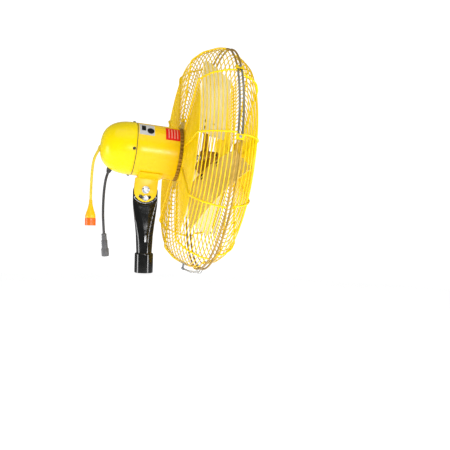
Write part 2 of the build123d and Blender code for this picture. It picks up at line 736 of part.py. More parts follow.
def write_guard():
    rear_wire = profile_wire(REAR_PROFILE, REAR_BENDS)
    corner = REAR_PROFILE[1][1] - REAR_PROFILE[0][1] - 4
    save("rear_guard_face_rings", group(rings_on(REAR_PROFILE, REAR_BENDS, 4, corner)), MOTOR)
    save("rear_guard_side_rings",
         group(rings_on(REAR_PROFILE, REAR_BENDS, corner + RING_PITCH, rear_wire.length - 8)), MOTOR)
    save("rear_guard_ribs", group(spread(rib(REAR_PROFILE, REAR_BENDS, (1, 1, 1)), rib_angles())), MOTOR)
    save("rear_hoop", hoop(REAR_HOOP), MOTOR)
    save("guard_mounting_plate", mounting_plate(), MOTOR)

    front_wire = profile_wire(FRONT_PROFILE, FRONT_BENDS)
    face = FRONT_PROFILE[-2][1] - FRONT_PROFILE[-1][1] - 14
    side = front_wire.length - face
    save("front_guard_side_rings", group(rings_on(FRONT_PROFILE, FRONT_BENDS, 14, side - RING_PITCH)), MOTOR)
    save("front_guard_face_rings",
         group(rings_on(FRONT_PROFILE, FRONT_BENDS, side, front_wire.length - 10)), MOTOR)
    save("front_guard_ribs",
         group(spread(rib(FRONT_PROFILE, FRONT_BENDS, (-1, 1, 1, 1)), rib_angles())), MOTOR)
    save("front_hoop", hoop(FRONT_HOOP), MOTOR)
    save("badge_plate", badge_plate(), MOTOR)

    save("guard_clips", group(spread(clip_outer(), CLIP_ANGLES)), MOTOR)
    save("guard_clip_backs", group(spread(clip_inner(), CLIP_ANGLES)), MOTOR)
    save("guard_clip_screws", group(spread(clip_screw(), CLIP_ANGLES)), MOTOR)
    save("guard_clip_nuts", group(spread(clip_nut(), CLIP_ANGLES)), MOTOR)
    save("latch_bail", around(BAIL_ANGLE) * bail(), MOTOR)
    save("bail_hinge", around(BAIL_ANGLE) * bail_hinge(), MOTOR)


def write_rotor():
    blade_shape = blade()
    for name, angle in zip(("blade_top", "blade_near", "blade_far"), BLADE_ANGLES):
        save(name, around(angle) * blade_shape, MOTOR)
    save("blade_spider", spider(), MOTOR)
    save("blade_rivets", rivets(), MOTOR)
    save("hub_set_screw", hub_set_screw(), MOTOR)
    save("shaft", shaft(), MOTOR)
    save("rotor_core", rotor_core(), MOTOR)


def write_cords():
    save("yellow_gland", gland(YELLOW_ROUTE, forward()))
    save("black_gland", gland(BLACK_ROUTE, into_cap(BLACK_ROUTE)))
    save("yellow_cord", cord("yellow cord", YELLOW_ROUTE))
    save("black_cord", cord("black cord", BLACK_ROUTE))
    save("connector_relief", connector_relief(), far_frame(YELLOW_ROUTE))
    save("connector_body", connector_body(), far_frame(YELLOW_ROUTE))
    save("connector_end", connector_end(), far_frame(YELLOW_ROUTE))
    save("plug_body", plug_body(), far_frame(BLACK_ROUTE))
    save("plug_pins", plug_pins(), far_frame(BLACK_ROUTE))


write_pole_adapter()
write_motor()
write_bracket()
write_guard()
write_rotor()
write_cords()
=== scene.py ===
import json
import math

import bmesh
import bpy
import numpy as np
from mathutils import Matrix, Vector

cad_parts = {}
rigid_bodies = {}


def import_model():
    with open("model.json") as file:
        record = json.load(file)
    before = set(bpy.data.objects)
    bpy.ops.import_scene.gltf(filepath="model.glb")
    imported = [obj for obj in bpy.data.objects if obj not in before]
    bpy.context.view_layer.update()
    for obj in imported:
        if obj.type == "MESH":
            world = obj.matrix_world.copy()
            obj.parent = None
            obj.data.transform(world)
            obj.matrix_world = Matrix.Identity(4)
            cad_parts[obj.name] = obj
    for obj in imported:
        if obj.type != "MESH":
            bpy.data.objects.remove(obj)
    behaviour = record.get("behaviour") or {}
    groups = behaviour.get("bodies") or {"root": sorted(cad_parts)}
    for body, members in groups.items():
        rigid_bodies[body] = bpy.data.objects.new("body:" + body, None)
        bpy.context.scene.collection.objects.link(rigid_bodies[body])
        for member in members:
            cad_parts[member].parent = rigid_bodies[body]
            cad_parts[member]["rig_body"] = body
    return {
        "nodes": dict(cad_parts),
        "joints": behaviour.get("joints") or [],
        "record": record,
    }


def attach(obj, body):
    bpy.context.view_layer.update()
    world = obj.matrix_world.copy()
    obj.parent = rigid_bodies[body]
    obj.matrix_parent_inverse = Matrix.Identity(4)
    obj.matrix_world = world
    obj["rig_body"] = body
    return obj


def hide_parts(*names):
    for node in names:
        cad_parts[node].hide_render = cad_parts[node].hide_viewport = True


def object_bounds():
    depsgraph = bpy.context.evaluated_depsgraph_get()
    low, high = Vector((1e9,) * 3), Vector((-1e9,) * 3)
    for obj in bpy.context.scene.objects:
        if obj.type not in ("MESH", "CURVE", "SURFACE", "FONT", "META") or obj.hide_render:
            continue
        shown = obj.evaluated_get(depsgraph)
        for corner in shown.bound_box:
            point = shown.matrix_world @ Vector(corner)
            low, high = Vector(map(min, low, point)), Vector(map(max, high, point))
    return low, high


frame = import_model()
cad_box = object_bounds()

SCENE = bpy.context.scene

# ---- frames
# HEAD: x forward along the motor axis, z up, origin on the tilt pivot.
# MOTOR: z forward along the motor axis, x up, y to the near side. Angles count up from the near side.
JOINTS = {joint["name"]: joint for joint in frame["joints"]}
FORWARD = Vector(JOINTS["rotor_spin"]["axis"]).normalized()
NEAR = Vector((0, -1, 0))
HEAD_UP = NEAR.cross(FORWARD)
PIVOT = Vector(JOINTS["head_tilt"]["pos_m"])
MOTOR_CENTRE = Vector(JOINTS["rotor_spin"]["pos_m"])


def placed(name, data):
    """A new object of the scene."""
    thing = bpy.data.objects.new(name, data)
    SCENE.collection.objects.link(thing)
    return thing


def frame_of(origin, x_way, y_way, z_way):
    return Matrix.Translation(origin) @ Matrix((x_way, y_way, z_way)).transposed().to_4x4()


MOTOR = frame_of(MOTOR_CENTRE, HEAD_UP, NEAR, FORWARD)
HEAD = frame_of(PIVOT, FORWARD, -NEAR, HEAD_UP)
AXIS_RISE = (MOTOR_CENTRE - PIVOT).length


def shift(x=0, y=0, z=0):
    return Matrix.Translation((x, y, z))


def turned(degrees, axis):
    return Matrix.Rotation(math.radians(degrees), 4, axis)


def around(angle):
    return turned(90 - angle, "Z")


def along(origin, way):
    """A frame at origin with z along way."""
    return Matrix.Translation(origin) @ Vector(way).to_track_quat("Z", "Y").to_matrix().to_4x4()


# ---- sizes, in metres, with angles in degrees
MOTOR_R = 0.079
SEAM, SHELL_FRONT = -0.050, 0.076
GASKET = 0.002
MOTOR_WALL = 0.0025
DOME_LENGTH, DOME_POWER = 0.098, 2.6
FLANGE_R, FLANGE_TOOTH, FLANGE_FACE, FLANGE_BORE = 0.080, 0.0032, 0.0864, 0.013
LABEL_SHEET = 0.0004
GUARD_PLANE = 0.088

RING_R = 0.0016
RIB_R = 0.0025
HOOP_R = 0.003
WELD = 0.0002
NUGGET_R, NUGGET_HALF = 0.0030, 0.0019
RIB_COUNT = 10
FIRST_RIB = 13.0
REAR_PROFILE = [(0, 0.100), (0, 0.283), (0.030, 0.311), (0.074, 0.330), (0.096, 0.332)]
REAR_BENDS = [0.014, 0.050, 0.060]
FRONT_PROFILE = [(0.111, 0.332), (0.116, 0.318), (0.137, 0.313), (0.159, 0.296), (0.168, 0.274),
                 (0.168, 0.062)]
FRONT_BENDS = [0.008, 0.030, 0.024, 0.014]
HOOP_RADIUS = 0.335
CLIP_ANGLES = [51.2, 10.8, -92.8, 159.2, -164.8]
CLIP_WIDTH, CLIP_SHEET = 0.016, 0.002
CLIP_SCREW_R, CLIP_SCREW_FLATS, CLIP_SCREW_FACE = 0.0025, 0.008, 0.0053
BAIL_ANGLE, BAIL_WIRE_R = -92.8, 0.0015
BADGE_R = 0.066
MOUNT_R, MOUNT_BORE, MOUNT_SHEET = 0.102, 0.025, 0.002
MOUNT_HOLE_R, MOUNT_HOLE_CIRCLE = 0.0031, 0.052

BLADE_ANGLES = {"blade_top": 95, "blade_near": -25, "blade_far": 215}
BLADE_ROOT, BLADE_TIP = 0.074, 0.290
BLADE_STATION = 0.180
BLADE_HALF_WIDTH, BLADE_CORNER = 0.108, 0.034
BLADE_SHEET, ARM_SHEET = 0.0018, 0.003
ROOT_CHORD, TIP_CHORD = 0.185, 0.262
ROOT_PITCH, TIP_PITCH = 38.0, 31.0
CAMBER = 0.075
ARM_ROOT, ARM_REACH = 0.016, 0.122
ARM_NECK, ARM_PAD, ARM_HALF_WIDTH, ARM_CORNER = 0.014, 0.080, 0.038, 0.008
RIVET_SPOTS = [(0.092, -0.030), (0.092, 0.030), (0.112, -0.030), (0.112, 0.030)]
RIVET_R, RIVET_HEAD = 0.003, (0.005, 0.0022)
HUB_R, HUB_LENGTH, HUB_BORE = 0.024, 0.052, 0.008

SADDLE_SHEET = 0.005
SADDLE_REAR, SADDLE_FRONT = -0.029, 0.039
SADDLE_HALF_ANGLE = 37.0
EAR_R, EAR_DROP, EAR_SHEET, EAR_INNER = 0.0345, 0.0025, 0.005, 0.0029
SLOT_R, SLOT_HALF_ANGLE, SLOT_HALF_WIDTH = 0.025, 33.6, 0.0052
EAR_OUTER = EAR_INNER + EAR_SHEET
# Bolts: thread radius, width across flats, head height and nut height. Washers: radius, bore, thickness.
PIVOT_BOLT, LOCK_BOLT = (0.00635, 0.017, 0.008, 0.008), (0.00475, 0.013, 0.006, 0.007)
PIVOT_WASHER, LOCK_WASHER = (0.0115, 0.00645, 0.002), (0.0085, 0.00485, 0.0016)
PIVOT_HOLE_R = 0.0064
TUBE_R = 0.0233
TAB_HALF, TAB_HALF_WIDTH, TAB_CORNER = 0.0026, 0.0375, 0.028
TUBE_FOOT, TUBE_TAPER, TAB_FOOT, TAB_TOP = 0.040, 0.095, 0.207, 0.272
COLLAR_R, COLLAR_HEIGHT, SOCKET_R = 0.028, 0.058, 0.02245
SET_SCREW_R, SET_SCREW_HEIGHT = 0.004, 0.021

CORD_R = 0.004
YELLOW_ROUTE = [
    (-0.1424, 0, 0.3639), (-0.1500, 0, 0.3516), (-0.1570, -0.001, 0.3311), (-0.1606, -0.003, 0.3013),
    (-0.1626, -0.006, 0.2633), (-0.1632, -0.008, 0.2395), (-0.1634, -0.010, 0.2170)]
BLACK_ROUTE = [
    (-0.1115, 0.0166, 0.2987), (-0.1162, 0.0194, 0.2856), (-0.1198, 0.023, 0.263), (-0.1222, 0.0275, 0.2315),
    (-0.1228, 0.033, 0.192), (-0.1214, 0.038, 0.152), (-0.1178, 0.0415, 0.113)]

# ---- camera
CAMERA_AZIMUTH, CAMERA_ELEVATION, CAMERA_ROLL = -12.61, 3.85, 1.66
CAMERA_PLACE = Vector((-0.384, -2.827, 0.342))
CAMERA_LENS = 75.6


def make_camera():
    azimuth, elevation = math.radians(CAMERA_AZIMUTH), math.radians(CAMERA_ELEVATION)
    back = Vector((math.sin(azimuth) * math.cos(elevation), -math.cos(azimuth) * math.cos(elevation),
                   math.sin(elevation)))
    right = Vector((math.cos(azimuth), math.sin(azimuth), 0))
    level = frame_of(CAMERA_PLACE, right, back.cross(right), back)
    camera = placed("camera", bpy.data.cameras.new("camera"))
    camera.data.lens = CAMERA_LENS
    camera.data.clip_end = 60
    camera.matrix_world = level @ turned(CAMERA_ROLL, "Z")
    SCENE.camera = camera


# ---- materials
def srgb(colour):
    def linear(value):
        share = value / 255
        return share / 12.92 if share <= 0.04045 else ((share + 0.055) / 1.055) ** 2.4

    return tuple(linear(channel) for channel in colour) + (1,)


def shifted(colour, share, lift=0.0):
    return tuple(share * channel + lift for channel in colour[:3]) + (1,)


class Finish:
    """A Principled material whose nodes are added one by one."""

    def __init__(self, name):
        self.material = bpy.data.materials.new(name)
        self.material.use_nodes = True
        self.nodes = self.material.node_tree.nodes
        self.links = self.material.node_tree.links
        self.shader = self.nodes["Principled BSDF"]
        self.place = self.nodes.new("ShaderNodeTexCoord").outputs["Object"]

    def add(self, kind, **values):
        """A node of that kind, with plain values on the sockets named."""
        node = self.nodes.new(kind)
        for name, value in values.items():
            node.inputs[name.replace("_", " ")].default_value = value
        return node

    def noise(self, scale, detail=3.0, stretch=None, roughness=0.55):
        place = self.place
        if stretch:
            mapping = self.add("ShaderNodeMapping", Scale=stretch)
            self.links.new(place, mapping.inputs["Vector"])
            place = mapping.outputs["Vector"]
        noise = self.add("ShaderNodeTexNoise", Scale=scale, Detail=detail, Roughness=roughness)
        self.links.new(place, noise.inputs["Vector"])
        return noise.outputs["Fac"]

    def spread(self, value, low, high, start=0.35, end=0.65):
        span = self.add("ShaderNodeMapRange", From_Min=start, From_Max=end, To_Min=low, To_Max=high)
        self.links.new(value, span.inputs["Value"])
        return span.outputs["Result"]

    def blend(self, share, first, second):
        mix = self.nodes.new("ShaderNodeMix")
        mix.data_type = "RGBA"
        self.links.new(share, mix.inputs["Factor"])
        for socket, colour in ((mix.inputs["A"], first), (mix.inputs["B"], second)):
            if isinstance(colour, bpy.types.NodeSocket):
                self.links.new(colour, socket)
            else:
                socket.default_value = colour
        return mix.outputs["Result"]

    def done(self, colour, rough, relief, strength, distance, **values):
        """Links colour, roughness and bump to the shader, sets its plain values, and gives the material."""
        bump = self.add("ShaderNodeBump", Strength=strength, Distance=distance)
        self.links.new(relief, bump.inputs["Height"])
        outputs = {"Base Color": colour, "Roughness": rough, "Normal": bump.outputs["Normal"]}
        for name, output in outputs.items():
            self.links.new(output, self.shader.inputs[name])
        for name, value in values.items():
            self.shader.inputs[name.replace("_", " ")].default_value = value
        return self.material


def enamel(name, colour, shade, roughness=0.24, gloss=0.2, peel=0.10, chip=None):
    """Gloss paint: orange peel, slow changes of shade, a little grime, and chips if they have a colour."""
    finish = Finish(name)
    slow = finish.spread(finish.noise(7, 2), 0, 1)
    grime = finish.spread(finish.noise(55, 6, roughness=0.7), 0, 0.35, 0.58, 0.80)
    paint = finish.blend(slow, srgb(colour), srgb(shade))
    paint = finish.blend(grime, paint, shifted(srgb(shade), 0.72))
    if chip:
        worn = finish.spread(finish.noise(160, 5, roughness=0.8), 0, 0.9, 0.66, 0.70)
        paint = finish.blend(worn, paint, srgb(chip))
    rough = finish.spread(finish.noise(24, 4), roughness - 0.05, roughness + 0.08)
    return finish.done(paint, rough, finish.noise(420, 2), peel, 0.0004, Specular_IOR_Level=gloss)


def metal(name, colour, shade, roughness=0.3, stretch=(1, 1, 1), grain=0.12, scale=300, metallic=1.0):
    """Bare or plated metal with fine drawn grain and stains."""
    finish = Finish(name)
    body = finish.blend(finish.spread(finish.noise(14, 5, roughness=0.65), 0, 1), srgb(colour), srgb(shade))
    rough = finish.spread(finish.noise(scale / 3, 4, stretch), roughness - 0.08, roughness + 0.12)
    return finish.done(body, rough, finish.noise(scale, 3, stretch), grain, 0.0003, Metallic=metallic)


def moulded(name, colour, shade, roughness=0.5):
    """Moulded rubber or plastic: fine texture, dust in it and soft gloss."""
    finish = Finish(name)
    dust = finish.spread(finish.noise(130, 6, roughness=0.75), 0, 0.3, 0.6, 0.8)
    body = finish.blend(finish.spread(finish.noise(30, 4), 0, 1), srgb(colour), srgb(shade))
    body = finish.blend(dust, body, shifted(srgb(colour), 0.5, 0.25))
    rough = finish.spread(finish.noise(60, 3), roughness - 0.08, roughness + 0.1)
    return finish.done(body, rough, finish.noise(900, 3), 0.15, 0.0002)


def wound(name, colour, shade):
    """Coil wire: close turns of enamelled copper."""
    finish = Finish(name)
    wave = finish.add("ShaderNodeTexWave", Scale=160, Distortion=1.5)
    finish.links.new(finish.place, wave.inputs["Vector"])
    turns = wave.outputs["Fac"]
    rough = finish.spread(finish.noise(60, 3), 0.25, 0.45)
    body = finish.blend(turns, srgb(shade), srgb(colour))
    return finish.done(body, rough, turns, 0.5, 0.0006, Metallic=0.85)


def stacked(name, colour, shade):
    """Steel laminations, seen as fine lines across the motor axis."""
    finish = Finish(name)
    lines = finish.noise(40, 1, stretch=(45, 1, 1))
    body = finish.blend(finish.spread(lines, 0, 1), srgb(colour), srgb(shade))
    return finish.done(body, finish.spread(finish.noise(80, 3), 0.35, 0.55), lines, 0.4, 0.0004, Metallic=0.9)


def printed(name, colour, shade):
    """Printed vinyl with faint scuffs."""
    finish = Finish(name)
    scuff = finish.spread(finish.noise(220, 5, roughness=0.75), 0, 0.5, 0.55, 0.78)
    rough = finish.spread(finish.noise(90, 4), 0.28, 0.42)
    body = finish.blend(scuff, srgb(colour), srgb(shade))
    return finish.done(body, rough, finish.noise(700, 2), 0.08, 0.0002, Specular_IOR_Level=0.2)


DRAWN = {"stretch": (1, 6, 1), "grain": 0.10, "metallic": 0.12}
# The finish of each of the record's material slots.
FINISH = {
    "guard_yellow": enamel("guard enamel", (252, 218, 0), (246, 206, 0), gloss=0.3),
    "motor_yellow": enamel("motor enamel", (250, 213, 0), (247, 204, 0), roughness=0.26, gloss=0.3),
    # The hoop slot's grey is painted shade: the stretch of the hoop between two clips, as a wire seen in
    # shade.
    "hoop_grey": metal("hoop painted shade grey", (150, 146, 130), (104, 100, 86), 0.34, metallic=0.6),
    "pole_black": enamel("pole enamel", (9, 10, 10), (5, 6, 6), roughness=0.09, gloss=0.5, peel=0.08,
                         chip=(40, 38, 36)),
    "zinc": metal("zinc plate", (186, 188, 190), (132, 136, 142), 0.34, metallic=0.85),
    "black_screw": metal("black oxide", (34, 33, 34), (18, 18, 20), 0.36, metallic=0.6),
    "blade_metal": metal("blade sheet", (252, 244, 200), (244, 232, 176), 0.4, **DRAWN),
    # Hub and arm necks in a darker golden brown as painted shade; the pads keep the blade sheet's colour.
    "dark_steel": metal("spider painted shade brown", (176, 132, 30), (138, 98, 20), 0.45, metallic=0.2),
    # Flange: a tan casting, whose dark brown patches are partly painted shade of the gap between motor and
    # guard.
    "flange_tan": metal("flange casting with painted shade", (190, 146, 44), (128, 94, 30), 0.5, grain=0.4, scale=240,
                        metallic=0.35),
    "bare_steel": metal("bare steel", (176, 174, 170), (128, 126, 122), 0.28, stretch=(1, 1, 8)),
    "casting": metal("cast aluminium", (170, 172, 174), (132, 134, 136), 0.55, grain=0.5, scale=260),
    "lamination": stacked("laminations", (120, 122, 128), (74, 74, 80)),
    "copper": wound("copper wire", (196, 104, 52), (120, 54, 24)),
    "black_rubber": moulded("black rubber", (58, 58, 60), (42, 42, 44), 0.42),
    "yellow_rubber": moulded("yellow cord jacket", (228, 206, 62), (218, 194, 48), 0.45),
    "orange_rubber": moulded("orange connector", (248, 112, 14), (232, 96, 8), 0.36),
    "grey_rubber": moulded("grey plug", (104, 104, 106), (84, 84, 86)),
    "capacitor_grey": moulded("capacitor case", (150, 152, 155), (128, 130, 134), 0.4),
    "terminal_white": moulded("terminal block", (226, 224, 214), (206, 202, 190), 0.45),
    "pale_label": printed("pale label", (196, 198, 200), (176, 178, 180)),
    "red_label": printed("red label", (226, 6, 0), (204, 4, 0)),
    "pin_brass": metal("pin brass", (206, 170, 92), (160, 124, 60), 0.25),
}
# Finishes of only some of a slot's pieces or faces.
DOME_YELLOW = enamel("dome enamel", (250, 226, 0), (246, 218, 0), roughness=0.25, peel=0.06)
EAR_YELLOW = enamel("bracket enamel", (250, 216, 30), (244, 204, 10), roughness=0.3)
# Darkened gold of the hoop outside the two clips: painted shade on the yellow wire.
HOOP_PAINTED_SHADE_GOLD = metal("hoop painted shade gold", (206, 168, 60), (150, 116, 40), 0.36, metallic=0.4)
# A darker ochre copy of the blade sheet for the near blade only: painted shade.
BLADE_PAINTED_SHADE_OCHRE = metal("near blade sheet painted shade", (240, 216, 128), (228, 198, 98), 0.4, **DRAWN)
RIVET_STEEL = metal("rivet steel", (74, 56, 34), (48, 36, 22), 0.42, metallic=0.6)
YELLOW_BODY = moulded("yellow connector", (255, 196, 8), (248, 182, 4), 0.36)
LABEL_INK = printed("label ink", (10, 11, 12), (28, 28, 28))
LABEL_STRIPE = printed("label stripe", (246, 176, 160), (236, 150, 134))

SLOT = {entry["node"]: entry["material_slot"] for entry in frame["record"]["subparts"]}


def finish_cad_nodes():
    """Every CAD node gets its slot's finish, the hidden ones too."""
    for node, slot in SLOT.items():
        mesh = frame["nodes"][node].data
        mesh.materials.clear()
        mesh.materials.append(FINISH[slot])


# ---- mesh helpers
class Shape:
    """Points and faces gathered for one piece."""

    def __init__(self):
        self.points = []
        self.faces = []
        self.tints = []

    def add(self, part, place=None, tint=0):
        points, faces = part[:2]
        start = len(self.points)
        place = place or Matrix.Identity(4)
        self.points += [place @ Vector(point) for point in points]
        self.faces += [[start + index for index in face] for face in faces]
        self.tints += part[2] if len(part) > 2 else [tint] * len(faces)
        return self


def one(part, place=None):
    return Shape().add(part, place)


def arc(radius, start, stop, steps, centre=(0, 0)):
    """Points on an arc between two angles in degrees, both ends included."""
    turns = [math.radians(start + (stop - start) * step / steps) for step in range(steps + 1)]
    return [(centre[0] + radius * math.cos(turn), centre[1] + radius * math.sin(turn)) for turn in turns]


def circle(radius, steps=72, centre=(0, 0)):
    return arc(radius, 0, 360, steps, centre)[:-1]


def tiled(loops, count, closed=False):
    """Faces between closed loops of count points each. The two end loops get a face, unless they meet."""
    faces = []
    for loop in range(loops if closed else loops - 1):
        here, there = loop * count, (loop + 1) % loops * count
        for index in range(count):
            after = (index + 1) % count
            faces.append((here + index, here + after, there + after, there + index))
    if not closed:
        faces.append(tuple(range(count))[::-1])
        faces.append(tuple((loops - 1) * count + index for index in range(count)))
    return faces


def offset(radius, station, *points):
    """Outline points given as steps from one place."""
    return [(radius + across, station + up) for across, up in points]


def revolved(outline, steps=96, start=0, stop=360):
    """A closed outline of (radius, station) points turned round local z."""
    whole = stop - start >= 360
    turns = steps if whole else steps + 1
    points = []
    for turn in range(turns):
        angle = math.radians(start + (stop - start) * turn / steps)
        across, up = math.cos(angle), math.sin(angle)
        points += [(radius * across, radius * up, station) for radius, station in outline]
    return points, tiled(turns, len(outline), whole)


def grid_cells(outer, inner):
    """The cells of a grid of points, and the loop of points along its edge."""
    wide = inner + 1
    cells = []
    for line in range(outer):
        for step in range(inner):
            first = line * wide + step
            cells.append((first, first + 1, first + wide + 1, first + wide))
    edge = [line * wide for line in range(outer, 0, -1)] + list(range(inner))
    edge += [line * wide + inner for line in range(outer)]
    edge += [outer * wide + step for step in range(inner, 0, -1)]
    return cells, edge


def rim_faces(edge, back):
    """Faces from a loop of points to the same loop of a second grid, back points further on."""
    return [(here, there, there + back, here + back) for here, there in zip(edge, edge[1:] + edge[:1])]


def two_skins(outer, inner):
    """Faces of two grids of points, one behind the other, joined along their edge."""
    cells, edge = grid_cells(outer, inner)
    back = (outer + 1) * (inner + 1)
    faces = []
    for cell in cells:
        faces += [cell, tuple(index + back for index in cell[::-1])]
    return faces + rim_faces(edge, back)


def torus(radius, station, wire, steps=144, sides=10):
    return revolved(circle(wire, sides, (radius, station)), steps)


def tube(path, radius, sides=10, closed=False):
    """A round wire along a path; radius may be one number, or one for each point."""
    path = [Vector(point) for point in path]
    radii = radius if isinstance(radius, list) else [radius] * len(path)
    count = len(path)
    points, side = [], None
    for index, point in enumerate(path):
        before = path[index - 1] if index or closed else point
        after = path[(index + 1) % count] if index < count - 1 or closed else point
        way = (after - before).normalized()
        side = (side - way * side.dot(way)).normalized() if side else way.orthogonal().normalized()
        other = way.cross(side)
        for turn in range(sides):
            angle = 2 * math.pi * turn / sides
            points.append(point + radii[index] * (side * math.cos(angle) + other * math.sin(angle)))
    return points, tiled(count, sides, closed)


def rounded(points, bends, steps=8):
    """A path through points with an arc of the given radius at each inner one."""
    points = [Vector(point) for point in points]
    path = [points[0]]
    for before, point, after, bend in zip(points, points[1:], points[2:], bends):
        into, out = (point - before).normalized(), (after - point).normalized()
        turn = into.angle(out)
        start = point - into * bend * math.tan(turn / 2)
        toward = (out - into * into.dot(out)).normalized()
        for step in range(steps + 1):
            angle = turn * step / steps
            path.append(start + into * bend * math.sin(angle) + toward * bend * (1 - math.cos(angle)))
    return path + [points[-1]]


def hexagon_radius(flats, angle):
    from_middle = (angle + math.pi / 6) % (math.pi / 3) - math.pi / 6
    return flats / 2 / math.cos(from_middle)


def hex_head(flats, low, high, washer_face=True):
    """Hexagon with its outer corners cut by a cone; low is the face that bears on the work."""
    steps, height = 48, high - low
    # Each level has its height and the largest radius there.
    levels = [(low, flats * 0.48), (low + height * 0.08, flats * 0.48), (low + height * 0.08, flats),
              (high - height * 0.22, flats), (high - height * 0.10, flats * 0.535), (high, flats * 0.475)]
    if not washer_face:
        levels = [(low, flats)] + levels[3:]
    points = []
    for level, limit in levels:
        for step in range(steps):
            angle = 2 * math.pi * step / steps
            radius = min(hexagon_radius(flats, angle), limit)
            points.append((radius * math.cos(angle), radius * math.sin(angle), level))
    return points, tiled(len(levels), steps)


def rod(radius, low, high, chamfer=0.0006, steps=40):
    low_end = [(0, low), (radius - chamfer, low), (radius, low + chamfer)]
    return revolved(low_end + [(radius, high - chamfer), (radius - chamfer, high), (0, high)], steps)


def threaded(radius, low, high, pitch=0.00125):
    """A bolt's end with its thread as fine grooves."""
    outline = [(0, low), (radius * 0.9, low)]
    count = int((high - low - pitch) / pitch)
    for index in range(count):
        level = low + pitch * (index + 0.5)
        outline += [(radius, level + pitch * 0.25), (radius * 0.9, level + pitch * 0.75)]
    return revolved(outline + [(radius * 0.85, high), (0, high)], 32)


def ring_washer(radius, bore, low, high):
    cut = (high - low) * 0.22
    return revolved([(bore, low), (radius - cut, low), (radius, low + cut), (radius, high - cut),
                     (radius - cut, high), (bore, high)], 48)


def pan_head(radius, height, steps=32):
    """Domed head on local z, its flat face at zero."""
    dome = [(radius * across ** 0.7, height * up) for across, up in arc(1, 0, 75, 5)]
    return revolved([(0, 0)] + dome + [(0, height)], steps)


def slab(low, high):
    """A box between two corners."""
    points = [(x, y, z) for z in (low[2], high[2]) for y in (low[1], high[1]) for x in (low[0], high[0])]
    return points, [(0, 2, 3, 1), (4, 5, 7, 6), (0, 1, 5, 4), (2, 6, 7, 3), (0, 4, 6, 2), (1, 3, 7, 5)]


def plate(loops, thickness, edge):
    """A sheet cut to closed flat loops, the first its outline and the rest holes, with its edges rounded.
    It stands from z = 0 to its thickness."""
    curve = bpy.data.curves.new("sheet", "CURVE")
    curve.dimensions = "2D"
    curve.fill_mode = "BOTH"
    curve.extrude = thickness / 2 - edge
    curve.bevel_depth = edge
    curve.bevel_resolution = 2
    curve.offset = -edge
    for loop in loops:
        spline = curve.splines.new("POLY")
        spline.points.add(len(loop) - 1)
        for point, (x, y) in zip(spline.points, loop):
            point.co = (x, y, 0, 1)
        spline.use_cyclic_u = True
    holder = placed("sheet", curve)
    bpy.context.view_layer.update()
    mesh = bpy.data.meshes.new_from_object(holder.evaluated_get(bpy.context.evaluated_depsgraph_get()))
    points = [tuple(vertex.co + Vector((0, 0, thickness / 2))) for vertex in mesh.vertices]
    faces = [tuple(face.vertices) for face in mesh.polygons]
    bpy.data.objects.remove(holder)
    return points, faces


def build(name, shape, node, finish=None, second=None, slot=None, bevel=0.0, smooth=38):
    """Makes the mesh, shades it, and puts it on its CAD node's body in that node's place.
    Its finish is that of the node's slot unless another slot or a finish is given; second is for faces of
    tint 1."""
    slot = slot or SLOT[node]
    mesh = bpy.data.meshes.new(name)
    mesh.from_pydata([tuple(point) for point in shape.points], [], shape.faces)
    work = bmesh.new()
    work.from_mesh(mesh)
    bmesh.ops.remove_doubles(work, verts=work.verts, dist=2e-6)
    bmesh.ops.recalc_face_normals(work, faces=work.faces)
    work.to_mesh(mesh)
    work.free()
    mesh.materials.append(finish or FINISH[slot])
    if second:
        mesh.materials.append(second)
    if any(shape.tints) and len(mesh.polygons) == len(shape.tints):
        mesh.polygons.foreach_set("material_index", shape.tints)
    mesh.polygons.foreach_set("use_smooth", [True] * len(mesh.polygons))
    mesh.set_sharp_from_angle(angle=math.radians(smooth))
    piece = placed(name, mesh)
    if bevel:
        rounding = piece.modifiers.new("edges", "BEVEL")
        rounding.width = bevel
        rounding.segments = 3
        rounding.limit_method = "ANGLE"
        rounding.angle_limit = math.radians(35)
        rounding.harden_normals = True
    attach(piece, frame["nodes"][node]["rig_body"])
    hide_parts(node)
    return piece


# ---- cords
def make_cord(name, route, node, with_pieces):
    curve = bpy.data.curves.new(name, "CURVE")
    curve.dimensions = "3D"
    curve.bevel_depth = CORD_R
    curve.bevel_resolution = 6
    curve.use_fill_caps = True
    curve.materials.append(FINISH[SLOT[node]])
    spline = curve.splines.new("NURBS")
    spline.points.add(len(route) - 1)
    for point, place in zip(spline.points, route):
        point.co = (*place, 1)
    spline.order_u = 3
    spline.use_endpoint_u = True
    spline.resolution_u = 14
    piece = placed(name, curve)
    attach(piece, "head")
    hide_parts(node)


GLAND_NOSE, GLAND_KNUCKLE, GLAND_STEM = 0.012, 0.0084, 0.016


def make_gland(name, route, stem_way, node, size=1.0):
    """Round knuckle on the cap, a stem into it, and a tapered ribbed nose that the cord comes out of."""
    way = (Vector(route[1]) - Vector(route[0])).normalized()
    knuckle = Vector(route[0]) - way * GLAND_NOSE
    ball = arc(GLAND_KNUCKLE * size, -90, 15, 7)
    nose = []
    for rib in range(3):
        low, radius = 0.0032 + 0.0028 * rib, (0.0078 - 0.0007 * rib) * size
        nose += offset(radius, low, (0, 0), (0, 0.0018), (-0.0011, 0.0020), (-0.0012, 0.0027))
    nose += [(0.0056 * size, 0.0114), (0.0052 * size, GLAND_NOSE), (0, GLAND_NOSE)]
    shape = one(revolved(ball + nose, 40), along(knuckle, way))
    shape.add(rod(0.008 * size, 0, GLAND_STEM), along(knuckle, stem_way))
    return build(name, shape, node)


RELIEF, CONNECTOR, CONNECTOR_R = 0.027, 0.027, 0.015


